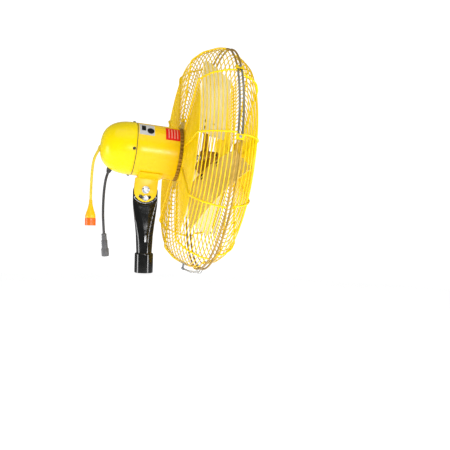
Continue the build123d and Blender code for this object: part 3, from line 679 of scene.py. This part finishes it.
def make_connector():
    """Yellow sleeve and body of the cord's connector, which ends in the orange CAD piece."""
    start, end = Vector(YELLOW_ROUTE[-2]), Vector(YELLOW_ROUTE[-1])
    place = along(end, end - start)
    sleeve = [(0, 0.0002), (0.0049, 0.0002), (0.0052, 0.0010)]
    for index in range(3):
        low = 0.0026 + 0.0038 * index
        outer = 0.0054 + 0.0003 * index
        sleeve += offset(outer, low, (0, 0), (-0.0009, 0.0003), (-0.0009, 0.0013), (0, 0.0016))
    sleeve += [(0.0064, 0.0150), (0.0076, 0.0205), (0.0092, RELIEF), (0, RELIEF)]
    relief = build("connector_sleeve", one(revolved(sleeve, 48), place), "connector_relief", YELLOW_BODY)
    neck = offset(0, RELIEF, (0, 0), (0.0092, 0), (0.0112, 0.0055), (0.0132, 0.012), (0.0146, 0.0165),
                  (CONNECTOR_R, 0.019), (CONNECTOR_R, 0.0262), (0.0146, CONNECTOR), (0, CONNECTOR))
    shape = one(revolved(neck, 64), place)
    for side in range(12):
        rib = slab((0.0140, -0.0006, RELIEF + 0.0195), (CONNECTOR_R + 0.0004, 0.0006, RELIEF + 0.0255))
        shape.add(rib, place @ turned(30 * side, "Z"))
    drum = build("connector_shell", shape, "connector_body", YELLOW_BODY)
    return [relief, drum, frame["nodes"]["connector_end"]]


def make_plug():
    """Grey stepped plug: a sleeve, a ribbed grip and a shroud round the pins."""
    start, end = Vector(BLACK_ROUTE[-2]), Vector(BLACK_ROUTE[-1])
    outline = [(0, 0.0002), (0.0072, 0.0002), (0.0078, 0.0010), (0.0078, 0.0065), (0.0068, 0.0070),
               (0.0068, 0.0085), (0.0078, 0.0090), (0.0078, 0.0205), (0.0088, 0.0210), (0.0095, 0.0220)]
    for index in range(3):
        low = 0.025 + 0.006 * index
        outline += offset(0.0095, low, (0, 0), (-0.0008, 0.0005), (-0.0008, 0.0028), (0, 0.0033))
    outline += [(0.0095, 0.0455), (0.0108, 0.0462), (0.0114, 0.0470), (0.0114, 0.0680), (0.0108, 0.069),
                (0.0100, 0.069), (0.0096, 0.0682), (0.0096, 0.052), (0, 0.052)]
    shape = one(revolved(outline, 56), along(end, end - start))
    return [build("plug_housing", shape, "plug_body"), frame["nodes"]["plug_pins"]]


def make_cords():
    yellow_gland = make_gland("yellow_cord_gland", YELLOW_ROUTE, FORWARD, "yellow_gland", size=0.82)
    into_cap = Vector(BLACK_ROUTE[0]) - Vector(BLACK_ROUTE[1])
    black_gland = make_gland("black_cord_gland", BLACK_ROUTE, into_cap, "black_gland")
    make_cord("yellow_lead", YELLOW_ROUTE, "yellow_cord", make_connector() + [yellow_gland])
    make_cord("black_lead", BLACK_ROUTE, "black_cord", make_plug() + [black_gland])


# ---- motor
def make_motor():
    rim = SEAM - GASKET
    dome = offset(MOTOR_R, rim, (-MOTOR_WALL, 0), (-0.0008, 0), (0, -0.0008))
    for step in range(1, 49):
        angle = math.radians(90 * step / 48)
        across = MOTOR_R * math.cos(angle) ** (2 / DOME_POWER) if step < 48 else 0
        dome.append((across, rim - DOME_LENGTH * math.sin(angle) ** (2 / DOME_POWER)))
    dome.append((0, rim - DOME_LENGTH + MOTOR_WALL))
    build("rear_dome", one(revolved(dome, 128), MOTOR), "rear_cap", DOME_YELLOW, smooth=60)

    gasket = offset(MOTOR_R, rim, (-0.005, -0.0004), (-0.0012, -0.0004), (-0.0008, 0.001))
    gasket += offset(MOTOR_R, SEAM, (-0.0012, 0.0004), (-0.005, 0.0004))
    build("seam_gasket", one(revolved(gasket, 128), MOTOR), "cap_gasket")

    lip = 0.0009
    shell = offset(MOTOR_R, SEAM, (-MOTOR_WALL, 0), (-lip, 0), (-lip * 0.3, lip * 0.3), (0, lip), (0, 0.020))
    shell += [(MOTOR_R, 0), (MOTOR_R, 0.040)]
    shell += offset(MOTOR_R, SHELL_FRONT, (0, -0.006), (0, -lip), (-lip * 0.3, -lip * 0.3), (-lip, 0),
                    (-MOTOR_WALL, 0))
    build("motor_barrel", one(revolved(shell, 160), MOTOR), "motor_shell")

    screws = Shape()
    for angle in (0, 90, 180, 270):
        place = MOTOR @ around(angle) @ shift(x=MOTOR_R + 0.0001, z=rim - 0.006) @ turned(90, "Y")
        screws.add(pan_head(0.0046, 0.0028), place)
        screws.add(slab((-0.0005, -0.0036, 0.0022), (0.0005, 0.0036, 0.0029)), place, 1)
    build("dome_screws", screws, "cap_screws", second=FINISH["pole_black"])

    teeth = []
    for step, (x, y) in enumerate(circle(1, 240)):
        radius = FLANGE_R if step % 6 < 4 else FLANGE_R - FLANGE_TOOTH
        teeth.append((radius * x, radius * y))
    low = SHELL_FRONT + 0.0002
    ring = plate([teeth, circle(FLANGE_BORE)], FLANGE_FACE - low, 0.0006)
    # Its finish's dark brown is partly painted shade of the gap in front of the motor.
    build("front_flange", one(ring, MOTOR @ shift(z=low)), "motor_flange")


def label(name, node, second, low, high, start, stop, ink, columns=90, rows=60):
    """A thin patch bent round the shell; ink says which cells are of the second finish."""
    points = []
    for radius in (MOTOR_R + LABEL_SHEET, MOTOR_R + 0.00002):
        for row in range(rows + 1):
            angle = math.radians(90 - (start + (stop - start) * row / rows))
            for column in range(columns + 1):
                station = low + (high - low) * column / columns
                points.append((radius * math.cos(angle), radius * math.sin(angle), station))
    cells, edge = grid_cells(rows, columns)
    tints = [int(ink((column + 0.5) / columns, (row + 0.5) / rows))
             for row in range(rows) for column in range(columns)]
    rim = rim_faces(edge, len(points) // 2)
    build(name, one((points, cells + rim, tints + [0] * len(rim)), MOTOR), node, second=second)


def make_labels():
    def pictogram(across, up):
        in_block = 0.14 < across < 0.42 and 0.32 < up < 0.82
        return in_block or math.hypot((across - 0.74) * 0.98, (up - 0.36) * 0.92) < 0.23

    def stripes(across, up):
        return 0.12 < up < 0.88 and any(abs(across - middle) < 0.03 for middle in (0.22, 0.42, 0.62, 0.82))

    label("pictogram_patch", "pictogram_label", LABEL_INK, -0.0465, -0.0015, 34, 70, pictogram)
    label("striped_patch", "striped_label", LABEL_STRIPE, 0.032, 0.075, 29, 68, stripes)


# ---- tilt bracket
def bolt(height, sizes, face, end):
    """Hex bolt along Y with its head on the near side."""
    radius, flats, head, _ = sizes
    place = frame_of(Vector((0, 0, height)), Vector((1, 0, 0)), Vector((0, 0, 1)), NEAR)
    far = frame_of(Vector((0, 0, height)), Vector((1, 0, 0)), Vector((0, 0, -1)), -NEAR)
    shape = one(hex_head(flats, face, face + head), place)
    shape.add(rod(radius, -face + 0.001, face), place)
    return shape.add(threaded(radius, face, end), far)


def washers(name, node, height, sizes, face):
    radius, bore, thick = sizes
    shape = Shape()
    for way in (NEAR, -NEAR):
        shape.add(ring_washer(radius, bore, face, face + thick), along(Vector((0, 0, height)), way))
    build(name, shape, node)


def nut(name, node, height, sizes, face):
    _, flats, _, thick = sizes
    shape = hex_head(flats, face, face + thick, washer_face=False)
    build(name, one(shape, along(Vector((0, 0, height)), -NEAR)), node)


def make_bracket():
    saddle = [(MOTOR_R + 0.0001, SADDLE_REAR), (MOTOR_R + SADDLE_SHEET, SADDLE_REAR),
              (MOTOR_R + SADDLE_SHEET, SADDLE_FRONT), (MOTOR_R + 0.0001, SADDLE_FRONT)]
    saddle = revolved(saddle, 48, 180 - SADDLE_HALF_ANGLE, 180 + SADDLE_HALF_ANGLE)
    build("saddle", one(saddle, MOTOR), "saddle_plate", EAR_YELLOW, bevel=0.0012)

    top = AXIS_RISE - MOTOR_R - SADDLE_SHEET + 0.0006
    outline = arc(EAR_R, -180, 0, 45, (0, -EAR_DROP))
    outline += offset(EAR_R, top, (0, -0.003), (-0.001, -0.0009), (-0.003, 0))
    outline += offset(-EAR_R, top, (0.003, 0), (0.001, -0.0009), (0, -0.003))
    first, last = 270 - SLOT_HALF_ANGLE, 270 + SLOT_HALF_ANGLE
    ends = arc(SLOT_R, first, last, 1)
    slot = arc(SLOT_R + SLOT_HALF_WIDTH, first, last, 48)
    slot += arc(SLOT_HALF_WIDTH, last, last + 180, 12, ends[1])[1:-1]
    slot += arc(SLOT_R - SLOT_HALF_WIDTH, last, first, 48)
    slot += arc(SLOT_HALF_WIDTH, first + 180, first + 360, 12, ends[0])[1:-1]
    cheek = plate([outline, slot, circle(PIVOT_HOLE_R, 40)], EAR_SHEET, 0.0007)
    cheeks = Shape()
    for inner in (EAR_INNER, -EAR_OUTER):
        cheeks.add(cheek, HEAD @ shift(y=inner + EAR_SHEET) @ turned(90, "X"))
    drop = AXIS_RISE - math.sqrt((MOTOR_R + SADDLE_SHEET) ** 2 - EAR_OUTER ** 2)
    for side in (-1, 1):
        bead = [(x, side * (EAR_OUTER + 0.0004), drop - 0.0006) for x in np.linspace(-0.026, 0.034, 40)]
        widths = [0.0017 + 0.0003 * math.sin(2.1 * index) for index in range(40)]
        cheeks.add(tube(bead, widths, 10), HEAD)
    build("bracket_cheeks", cheeks, "tilt_ears", EAR_YELLOW)

    face = EAR_OUTER + PIVOT_WASHER[2]
    build("pivot_hex_bolt", bolt(PIVOT.z, PIVOT_BOLT, face, EAR_OUTER + 0.014), "pivot_bolt")
    washers("pivot_flat_washers", "pivot_washers", PIVOT.z, PIVOT_WASHER, EAR_OUTER)
    nut("pivot_hex_nut", "pivot_nut", PIVOT.z, PIVOT_BOLT, face)


# ---- pole adapter
def interpolate(value, knots):
    return float(np.interp(value, [knot[0] for knot in knots], [knot[1] for knot in knots]))


def make_pole_adapter():
    low = EAR_OUTER + 0.0003
    face = low + LOCK_WASHER[2]
    height = PIVOT.z - SLOT_R
    build("lock_hex_bolt", bolt(height, LOCK_BOLT, face, EAR_OUTER + 0.0139), "lock_bolt")
    washers("lock_flat_washers", "lock_washers", height, LOCK_WASHER, low)
    nut("lock_hex_nut", "lock_nut", height, LOCK_BOLT, face)

    # Half sizes of the tube at heights: round below, pressed flat above. The press is a disc round the
    # pivot, and leaves a curved step below the cheeks.
    press_r, steps = 0.0428, 96
    thickness = [(0.092, TUBE_R), (0.098, 0.0228), (0.113, 0.0208), (0.145, 0.0162), (0.178, 0.0110),
                 (0.200, 0.0078), (0.212, 0.0058), (0.222, 0.0044), (0.232, TAB_HALF)]
    width = [(0.060, TUBE_R), (0.080, 0.0244), (0.113, 0.0259), (0.145, 0.0295), (0.178, 0.0337),
             (0.200, 0.0365), (0.212, TAB_HALF_WIDTH)]
    levels = [*np.linspace(TUBE_FOOT, TUBE_TAPER - 0.006, 10), *np.linspace(TUBE_TAPER - 0.004, TAB_TOP, 90)]
    points = []
    for level in levels:
        half_width = interpolate(level, width)
        over = level - (TAB_TOP - TAB_CORNER)
        if over > 0:
            half_width = TAB_HALF_WIDTH - TAB_CORNER + math.sqrt(max(TAB_CORNER ** 2 - over ** 2, 0))
        half_thick = interpolate(level, thickness)
        power = interpolate(level, [(TUBE_TAPER, 2), (TAB_FOOT, 2.3), (TAB_FOOT + 0.02, 4)])
        for step in range(steps):
            turn = 2 * math.pi * step / steps
            x = half_width * math.copysign(abs(math.cos(turn)) ** (2 / power), math.cos(turn))
            y = half_thick * math.copysign(abs(math.sin(turn)) ** (2 / power), math.sin(turn))
            beyond = max(0.0, math.hypot(x, level - PIVOT.z) - press_r)
            limit = TAB_HALF + 0.9 * beyond + 40 * beyond ** 2
            points.append((x, math.copysign(min(abs(y), limit), y), level))
    build("pressed_tube", one((points, tiled(len(levels), steps))), "yoke_tube", smooth=50)

    collar = [(SOCKET_R, 0.0006), (SOCKET_R + 0.0006, 0)]
    collar += offset(COLLAR_R, 0, (-0.0008, 0), (0, 0.0008), (0, 0.0030))
    collar += offset(COLLAR_R, COLLAR_HEIGHT, (0, -0.0030), (0, -0.0012), (-0.0004, -0.0004), (-0.0012, 0))
    collar += [(TUBE_R + 0.0001, COLLAR_HEIGHT), (TUBE_R + 0.0001, TUBE_FOOT), (SOCKET_R, TUBE_FOOT)]
    shape = one(revolved(collar, 96))
    bead = [(x, y, COLLAR_HEIGHT + 0.0002) for x, y in circle(TUBE_R + 0.0008, 72)]
    shape.add(tube(bead, [0.0017 + 0.0003 * math.sin(1.9 * step) for step in range(72)], 10, closed=True))
    build("socket_collar", shape, "pole_collar")

    far = along(Vector((0, 0, SET_SCREW_HEIGHT)), (1, 1, 0))
    face = COLLAR_R + 0.0025
    screw = one(rod(SET_SCREW_R, SOCKET_R + 0.0003, face), far)
    screw.add(hex_head(0.013, face, COLLAR_R + 0.0075), far)
    build("collar_set_screw", screw, "pole_set_screw")


# ---- guard
def wire_rings(node):
    """(radius, station, wire radius) of each ring in a CAD node, read from its mesh."""
    mesh = frame["nodes"][node].data
    flat = np.empty(len(mesh.vertices) * 3)
    mesh.vertices.foreach_get("co", flat)
    turn = np.array(MOTOR.to_3x3())
    local = (flat.reshape(-1, 3) - np.array(MOTOR_CENTRE)) @ turn
    section = np.stack([np.hypot(local[:, 0], local[:, 1]), local[:, 2]], axis=1)
    rings = []
    while len(section):
        close = np.linalg.norm(section - section[0], axis=1) < 0.0065
        low, high = section[close].min(axis=0), section[close].max(axis=0)
        middle = (low + high) / 2
        rings.append((middle[0], middle[1], (high[1] - low[1]) / 2))
        section = section[~close]
    return rings


def moved_profile(points, distance):
    """The profile moved outward; each corner is where its two moved lines cross."""
    moved = []
    for index, point in enumerate(points):
        before, after = points[max(index - 1, 0)], points[min(index + 1, len(points) - 1)]
        normals = []
        for start, end in ((before, point), (point, after)):
            run = math.dist(start, end)
            if run > 0:
                normals.append(((start[1] - end[1]) / run, (end[0] - start[0]) / run))
        first, last = normals[0], normals[-1]
        scale = distance / (1 + first[0] * last[0] + first[1] * last[1])
        moved.append((point[0] + scale * (first[0] + last[0]), point[1] + scale * (first[1] + last[1])))
    return moved


def rib_path(profile, bends, growth):
    """The ribs' path, outside the rings. Growth is 1 where moving out widens a bend, else -1."""
    distance = RING_R + RIB_R - WELD
    radii = [bend + side * distance for bend, side in zip(bends, growth)]
    spots = [(radius, 0, GUARD_PLANE + station) for station, radius in moved_profile(profile, distance)]
    return rounded(spots, radii, 10)


def nugget(ring, path):
    """A small weld blob where a ring crosses a rib, in the rib's plane."""
    spot = Vector((ring[0], 0, ring[1]))
    nearest = None
    for start, end in zip(path, path[1:]):
        run = end - start
        share = min(max((spot - start).dot(run) / run.length_squared, 0), 1)
        place = start + run * share
        if nearest is None or (place - spot).length < (nearest - spot).length:
            nearest = place
    way = (nearest - spot).normalized()
    centre = spot + way * RING_R * 0.9
    points, faces = revolved([(0, -1), (0.72, -0.7), (1, 0), (0.72, 0.7), (0, 1)], 8)
    sized = [(x * NUGGET_R, y * NUGGET_R, z * NUGGET_HALF) for x, y, z in points]
    return (sized, faces), along(centre, way)


def make_guard_half(half, profile, bends, growth):
    """Rings, ribs with their welds, and the edge hoop, which is grey between two clips and gold elsewhere;
    both tones are painted shade on the yellow wire.
    """
    path = rib_path(profile, bends, growth)
    angles = [FIRST_RIB + 360 / RIB_COUNT * index for index in range(RIB_COUNT)]
    ribs = Shape()
    wire = tube(path, RIB_R, 12)
    for angle in angles:
        ribs.add(wire, MOTOR @ around(angle))
    for node in (f"{half}_guard_face_rings", f"{half}_guard_side_rings"):
        rings = wire_rings(node)
        shape = Shape()
        for ring in rings:
            shape.add(torus(*ring), MOTOR)
        build(node.replace("_guard", "_cage"), shape, node)
        for ring in rings:
            blob, place = nugget(ring, path)
            for angle in angles:
                ribs.add(blob, MOTOR @ around(angle) @ place)
    build(f"{half}_cage_ribs", ribs, f"{half}_guard_ribs", smooth=70)
    steps, sides = 192, 14
    points, faces = torus(*wire_rings(f"{half}_hoop")[0], steps, sides)
    turns = [90 - 360 * (face // sides + 0.5) / steps for face in range(len(faces))]
    # Painted shade: grey faces between the two clips, darkened gold faces elsewhere.
    tints = [0 if CLIP_ANGLES[1] < turn < CLIP_ANGLES[0] else 1 for turn in turns]
    build(f"{half}_edge_hoop", one((points, faces, tints), MOTOR), f"{half}_hoop", second=HOOP_PAINTED_SHADE_GOLD)


def make_guard():
    make_guard_half("rear", REAR_PROFILE, REAR_BENDS, (1, 1, 1))
    make_guard_half("front", FRONT_PROFILE, FRONT_BENDS, (-1, 1, 1, 1))

    holes = [circle(MOUNT_HOLE_R, 24, spot) for spot in arc(MOUNT_HOLE_CIRCLE, 45, 315, 3)]
    mount = plate([circle(MOUNT_R, 120), circle(MOUNT_BORE)] + holes, MOUNT_SHEET, 0.0005)
    build("cage_mount_plate", one(mount, MOTOR @ shift(z=FLANGE_FACE)), "guard_mounting_plate")

    front = GUARD_PLANE + FRONT_PROFILE[-1][0] + RING_R + 2 * RIB_R - WELD
    disc = offset(BADGE_R, front, (-BADGE_R, -WELD), (-0.0006, -WELD), (0, 0.0003), (-0.0008, 0.0012),
                  (-0.004, 0.0014), (-0.007, 0.0006), (-0.010, 0.0004), (-0.030, 0.0012), (-BADGE_R, 0.0014))
    build("front_centre_plate", one(revolved(disc, 96), MOTOR), "badge_plate")


def make_clips():
    rear, front = wire_rings("rear_hoop")[0][1], wire_rings("front_hoop")[0][1]
    middle = (rear + front) / 2
    half = (front - rear) / 2 + HOOP_R + 0.0025
    top = HOOP_RADIUS + HOOP_R + 0.0022
    strap = offset(top, half, (-0.007, -0.002), (-0.007, 0), (-0.0012, 0), (-0.0004, -0.0004), (0, -0.0012))
    strap += [(radius, -station) for radius, station in strap[::-1]]
    strap += [(top - CLIP_SHEET, CLIP_SHEET - half), (top - CLIP_SHEET, half - CLIP_SHEET)]
    points = [(radius, side * CLIP_WIDTH / 2, station) for side in (-1, 1) for radius, station in strap]
    faces = tiled(2, len(strap))
    outer, backs, screws, nuts = Shape(), Shape(), Shape(), Shape()
    inner = HOOP_RADIUS - HOOP_R - 0.0012
    for angle in CLIP_ANGLES:
        place = MOTOR @ around(angle) @ shift(z=middle)
        outer.add((points, faces), place)
        backs.add(slab((inner - 0.001, -0.007, -0.009), (inner + 0.001, 0.007, 0.009)), place)
        axis = place @ shift(x=HOOP_RADIUS) @ turned(90, "Y")
        screws.add(hex_head(CLIP_SCREW_FLATS, CLIP_SCREW_FACE, 0.009), axis)
        screws.add(rod(CLIP_SCREW_R, -0.012, CLIP_SCREW_FACE, steps=20), axis)
        nuts.add(hex_head(CLIP_SCREW_FLATS, -0.0092, -CLIP_SCREW_FACE, washer_face=False), axis)
    build("hoop_clips", outer, "guard_clips", bevel=0.0004)
    build("hoop_clip_backs", backs, "guard_clip_backs", slot="guard_yellow", bevel=0.0004)
    build("hoop_clip_screws", screws, "guard_clip_screws")
    build("hoop_clip_nuts", nuts, "guard_clip_nuts")


def make_bail():
    station, radius = GUARD_PLANE + 0.060, 0.343
    crest, half = HOOP_RADIUS + 0.015, 0.013
    nose_station, nose_radius = GUARD_PLANE + 0.122, HOOP_RADIUS - 0.001
    side = [(radius, half, station), (crest, half, station + 0.022), (crest, half, nose_station - 0.008),
            (nose_radius, half, nose_station)]
    mirrored = [(x, -y, z) for x, y, z in reversed(side)]
    corners = [(radius, 0.0005, station)] + side + mirrored + [(radius, -0.0005, station)]
    path = rounded(corners, [0.003] * (len(corners) - 2), 6)
    place = MOTOR @ around(BAIL_ANGLE)
    build("wire_bail", one(tube(path, BAIL_WIRE_R, 12), place), "latch_bail")


# ---- rotor
def blade_section(radius):
    """The sheet's pitch, half chord, rise and arc radius at a distance from the axis."""
    share = (radius - BLADE_ROOT) / (BLADE_TIP - BLADE_ROOT)
    pitch = math.radians(ROOT_PITCH + (TIP_PITCH - ROOT_PITCH) * share)
    half = (ROOT_CHORD + (TIP_CHORD - ROOT_CHORD) * share) / 2
    rise = CAMBER * 2 * half
    return pitch, half, rise, (half * half + rise * rise) / (2 * rise)


def blade_spot(radius, across, low):
    """A place on a blade along local +x: radius on x, across on y, low is the depth behind the face."""
    pitch, _, rise, bow = blade_section(radius)
    chord, height = -across / math.cos(pitch), 0.0
    for _ in range(12):
        height = low + rise - bow + math.sqrt(max(bow * bow - chord * chord, 0))
        chord = -(across + height * math.sin(pitch)) / math.cos(pitch)
    return (radius, across, BLADE_STATION + chord * math.sin(pitch) - height * math.cos(pitch))


def blade_half_width(radius):
    """The sheet is as wide as its chord allows, and no wider than its outline."""
    pitch, half = blade_section(radius)[:2]
    return min(BLADE_HALF_WIDTH, half * math.cos(pitch))


def blade_grid(columns, rows):
    """A curved sheet over a rounded outline, with a front and a back skin joined round its rim."""
    points = []
    for skin in (0, BLADE_SHEET):
        for column in range(columns + 1):
            side = math.sin(math.pi / 2 * (2 * column / columns - 1))
            beyond = max(abs(side) * BLADE_HALF_WIDTH - (BLADE_HALF_WIDTH - BLADE_CORNER), 0)
            inset = BLADE_CORNER - math.sqrt(max(BLADE_CORNER ** 2 - beyond ** 2, 0))
            end = min(math.sqrt(BLADE_TIP ** 2 - (side * BLADE_HALF_WIDTH) ** 2), BLADE_TIP + 0.004 - inset)
            for row in range(rows + 1):
                radius = BLADE_ROOT + (end - BLADE_ROOT) * row / rows
                points.append(blade_spot(radius, side * blade_half_width(radius), skin))
    return points, two_skins(columns, rows)


def arm_grid(low, high, columns=14, rows=44):
    """One arm of the spider: a neck from the hub that widens into the pad under the rivets, of tint 1."""
    points = []
    for skin in (low, high):
        for row in range(rows + 1):
            radius = ARM_ROOT + (ARM_REACH - ARM_ROOT) * row / rows
            flare = min(max((radius - ARM_PAD + 0.010) / 0.012, 0), 1)
            half_width = ARM_NECK + (ARM_HALF_WIDTH - ARM_NECK) * flare * flare * (3 - 2 * flare)
            beyond = max(radius - (ARM_REACH - ARM_CORNER), 0)
            half_width -= ARM_CORNER - math.sqrt(max(ARM_CORNER ** 2 - beyond ** 2, 0))
            for column in range(columns + 1):
                points.append(blade_spot(radius, half_width * (2 * column / columns - 1), skin))
    faces = two_skins(rows, columns)
    nearest = [min(math.hypot(*points[index][:2]) for index in face) for face in faces]
    return points, faces, [int(radius > ARM_PAD - 0.006) for radius in nearest]


def rivet_place(radius, across):
    """On the blade's front face at a rivet, z to the rear through the sheet."""
    pitch, _, rise, bow = blade_section(radius)
    height = rise - bow + math.sqrt(bow * bow - across * across)
    chord_way = Vector((0, -math.cos(pitch), math.sin(pitch)))
    rear_way = Vector((0, -math.sin(pitch), -math.cos(pitch)))
    origin = Vector((radius, 0, BLADE_STATION)) + chord_way * across + rear_way * height
    return along(origin, rear_way)


def make_rotor():
    sheet = blade_grid(40, 30)
    for node, angle in BLADE_ANGLES.items():
        # The near blade gets the ochre copy of the sheet's finish as painted shade; the other two keep the
        # sheet's own colour.
        finish = BLADE_PAINTED_SHADE_OCHRE if node == "blade_near" else None
        build(f"{node}_sheet", one(sheet, MOTOR @ around(angle)), node, finish, bevel=0.0004)

    low = BLADE_STATION - HUB_LENGTH / 2
    high = low + HUB_LENGTH
    arm = arm_grid(-ARM_SHEET - 0.00005, -0.00005)
    hub = [(HUB_BORE, low), (HUB_R - 0.0015, low), (HUB_R, low + 0.0015), (HUB_R, high - 0.0015),
           (HUB_R - 0.0015, high), (HUB_BORE, high)]
    spider = one(revolved(hub, 72), MOTOR)
    rivets = Shape()
    for angle in BLADE_ANGLES.values():
        spider.add(arm, MOTOR @ around(angle))
        for radius, across in RIVET_SPOTS:
            place = MOTOR @ around(angle) @ rivet_place(radius, across)
            rivets.add(pan_head(*RIVET_HEAD), place @ shift(z=-ARM_SHEET) @ turned(180, "X"))
            rivets.add(pan_head(*RIVET_HEAD), place @ shift(z=BLADE_SHEET))
            rivets.add(rod(RIVET_R, -ARM_SHEET - 0.0004, BLADE_SHEET + 0.0004, 0.0001, 16), place)
    # Tint 0 on hub and necks is the darker brown of painted shade; tint 1 on the pads is the blade sheet's
    # colour.
    build("spider_hub", spider, "blade_spider", second=FINISH["blade_metal"], bevel=0.0005)
    build("spider_rivets", rivets, "blade_rivets", RIVET_STEEL)

    shaft = [(0, -0.050), (0.0078, -0.050), (0.0085, -0.0493), (0.0085, 0.0793), (0.0078, 0.080),
             (0.00794, 0.0802), (0.00794, 0.213), (0.0069, 0.214), (0, 0.214)]
    build("motor_shaft", one(revolved(shaft, 48), MOTOR), "shaft")


# ---- studio
FLOOR_R, FLOOR_DROP, FLOOR_GLOW = 5, 0.6, 0.74
WORLD_LIGHT, WORLD_SEEN = 0.26, 1.15


def soft_box(name, place, target, width, height, power):
    light = bpy.data.lights.new(name, "AREA")
    light.shape = "RECTANGLE"
    light.size, light.size_y = width, height
    light.energy = power
    lamp = placed(name, light)
    lamp.location = place
    lamp.rotation_mode = "QUATERNION"
    lamp.rotation_quaternion = (Vector(target) - Vector(place)).to_track_quat("-Z", "Y")


def make_studio():
    grid = bmesh.new()
    bmesh.ops.create_circle(grid, cap_ends=True, segments=64, radius=FLOOR_R)
    mesh = bpy.data.meshes.new("studio_floor")
    grid.to_mesh(mesh)
    grid.free()
    floor = placed("studio_floor", mesh)
    floor.location.z = cad_box[0].z - FLOOR_DROP
    paper = Finish("floor paper")
    clouds = paper.spread(paper.noise(3, 2), 0, 1)
    sockets = paper.shader.inputs
    paper.links.new(paper.blend(clouds, (0.90, 0.90, 0.90, 1), (0.86, 0.86, 0.86, 1)), sockets["Base Color"])
    sockets["Emission Color"].default_value = (1, 1, 1, 1)
    sockets["Emission Strength"].default_value = FLOOR_GLOW
    sockets["Roughness"].default_value = 0.9
    mesh.materials.append(paper.material)

    world = bpy.data.worlds.new("studio")
    world.use_nodes = True
    SCENE.world = world
    nodes, links = world.node_tree.nodes, world.node_tree.links
    background = nodes["Background"]
    background.inputs["Color"].default_value = (1, 1, 1, 1)
    path = nodes.new("ShaderNodeLightPath")
    strength = nodes.new("ShaderNodeMapRange")
    strength.inputs["To Min"].default_value = WORLD_LIGHT
    strength.inputs["To Max"].default_value = WORLD_SEEN
    links.new(path.outputs["Is Camera Ray"], strength.inputs["Value"])
    links.new(strength.outputs["Result"], background.inputs["Strength"])

    middle = Vector((0.05, 0, 0.36))
    soft_box("key strip", (0.43, -2.8, 0.44), middle, 1.0, 0.36, 30)
    soft_box("top panel", (-0.3, -0.9, 2.6), middle, 2.4, 2.0, 24)
    soft_box("left strip", (-2.6, -0.03, -0.02), (0, 0, 0.1), 0.75, 0.95, 24)
    soft_box("right strip", (1.84, -1.84, -0.02), (0, 0, 0.1), 0.45, 0.95, 20)
    SCENE.view_settings.view_transform = "Standard"


make_camera()
make_cords()
finish_cad_nodes()
make_motor()
make_labels()
make_bracket()
make_pole_adapter()
make_guard()
make_clips()
make_bail()
make_rotor()
make_studio()
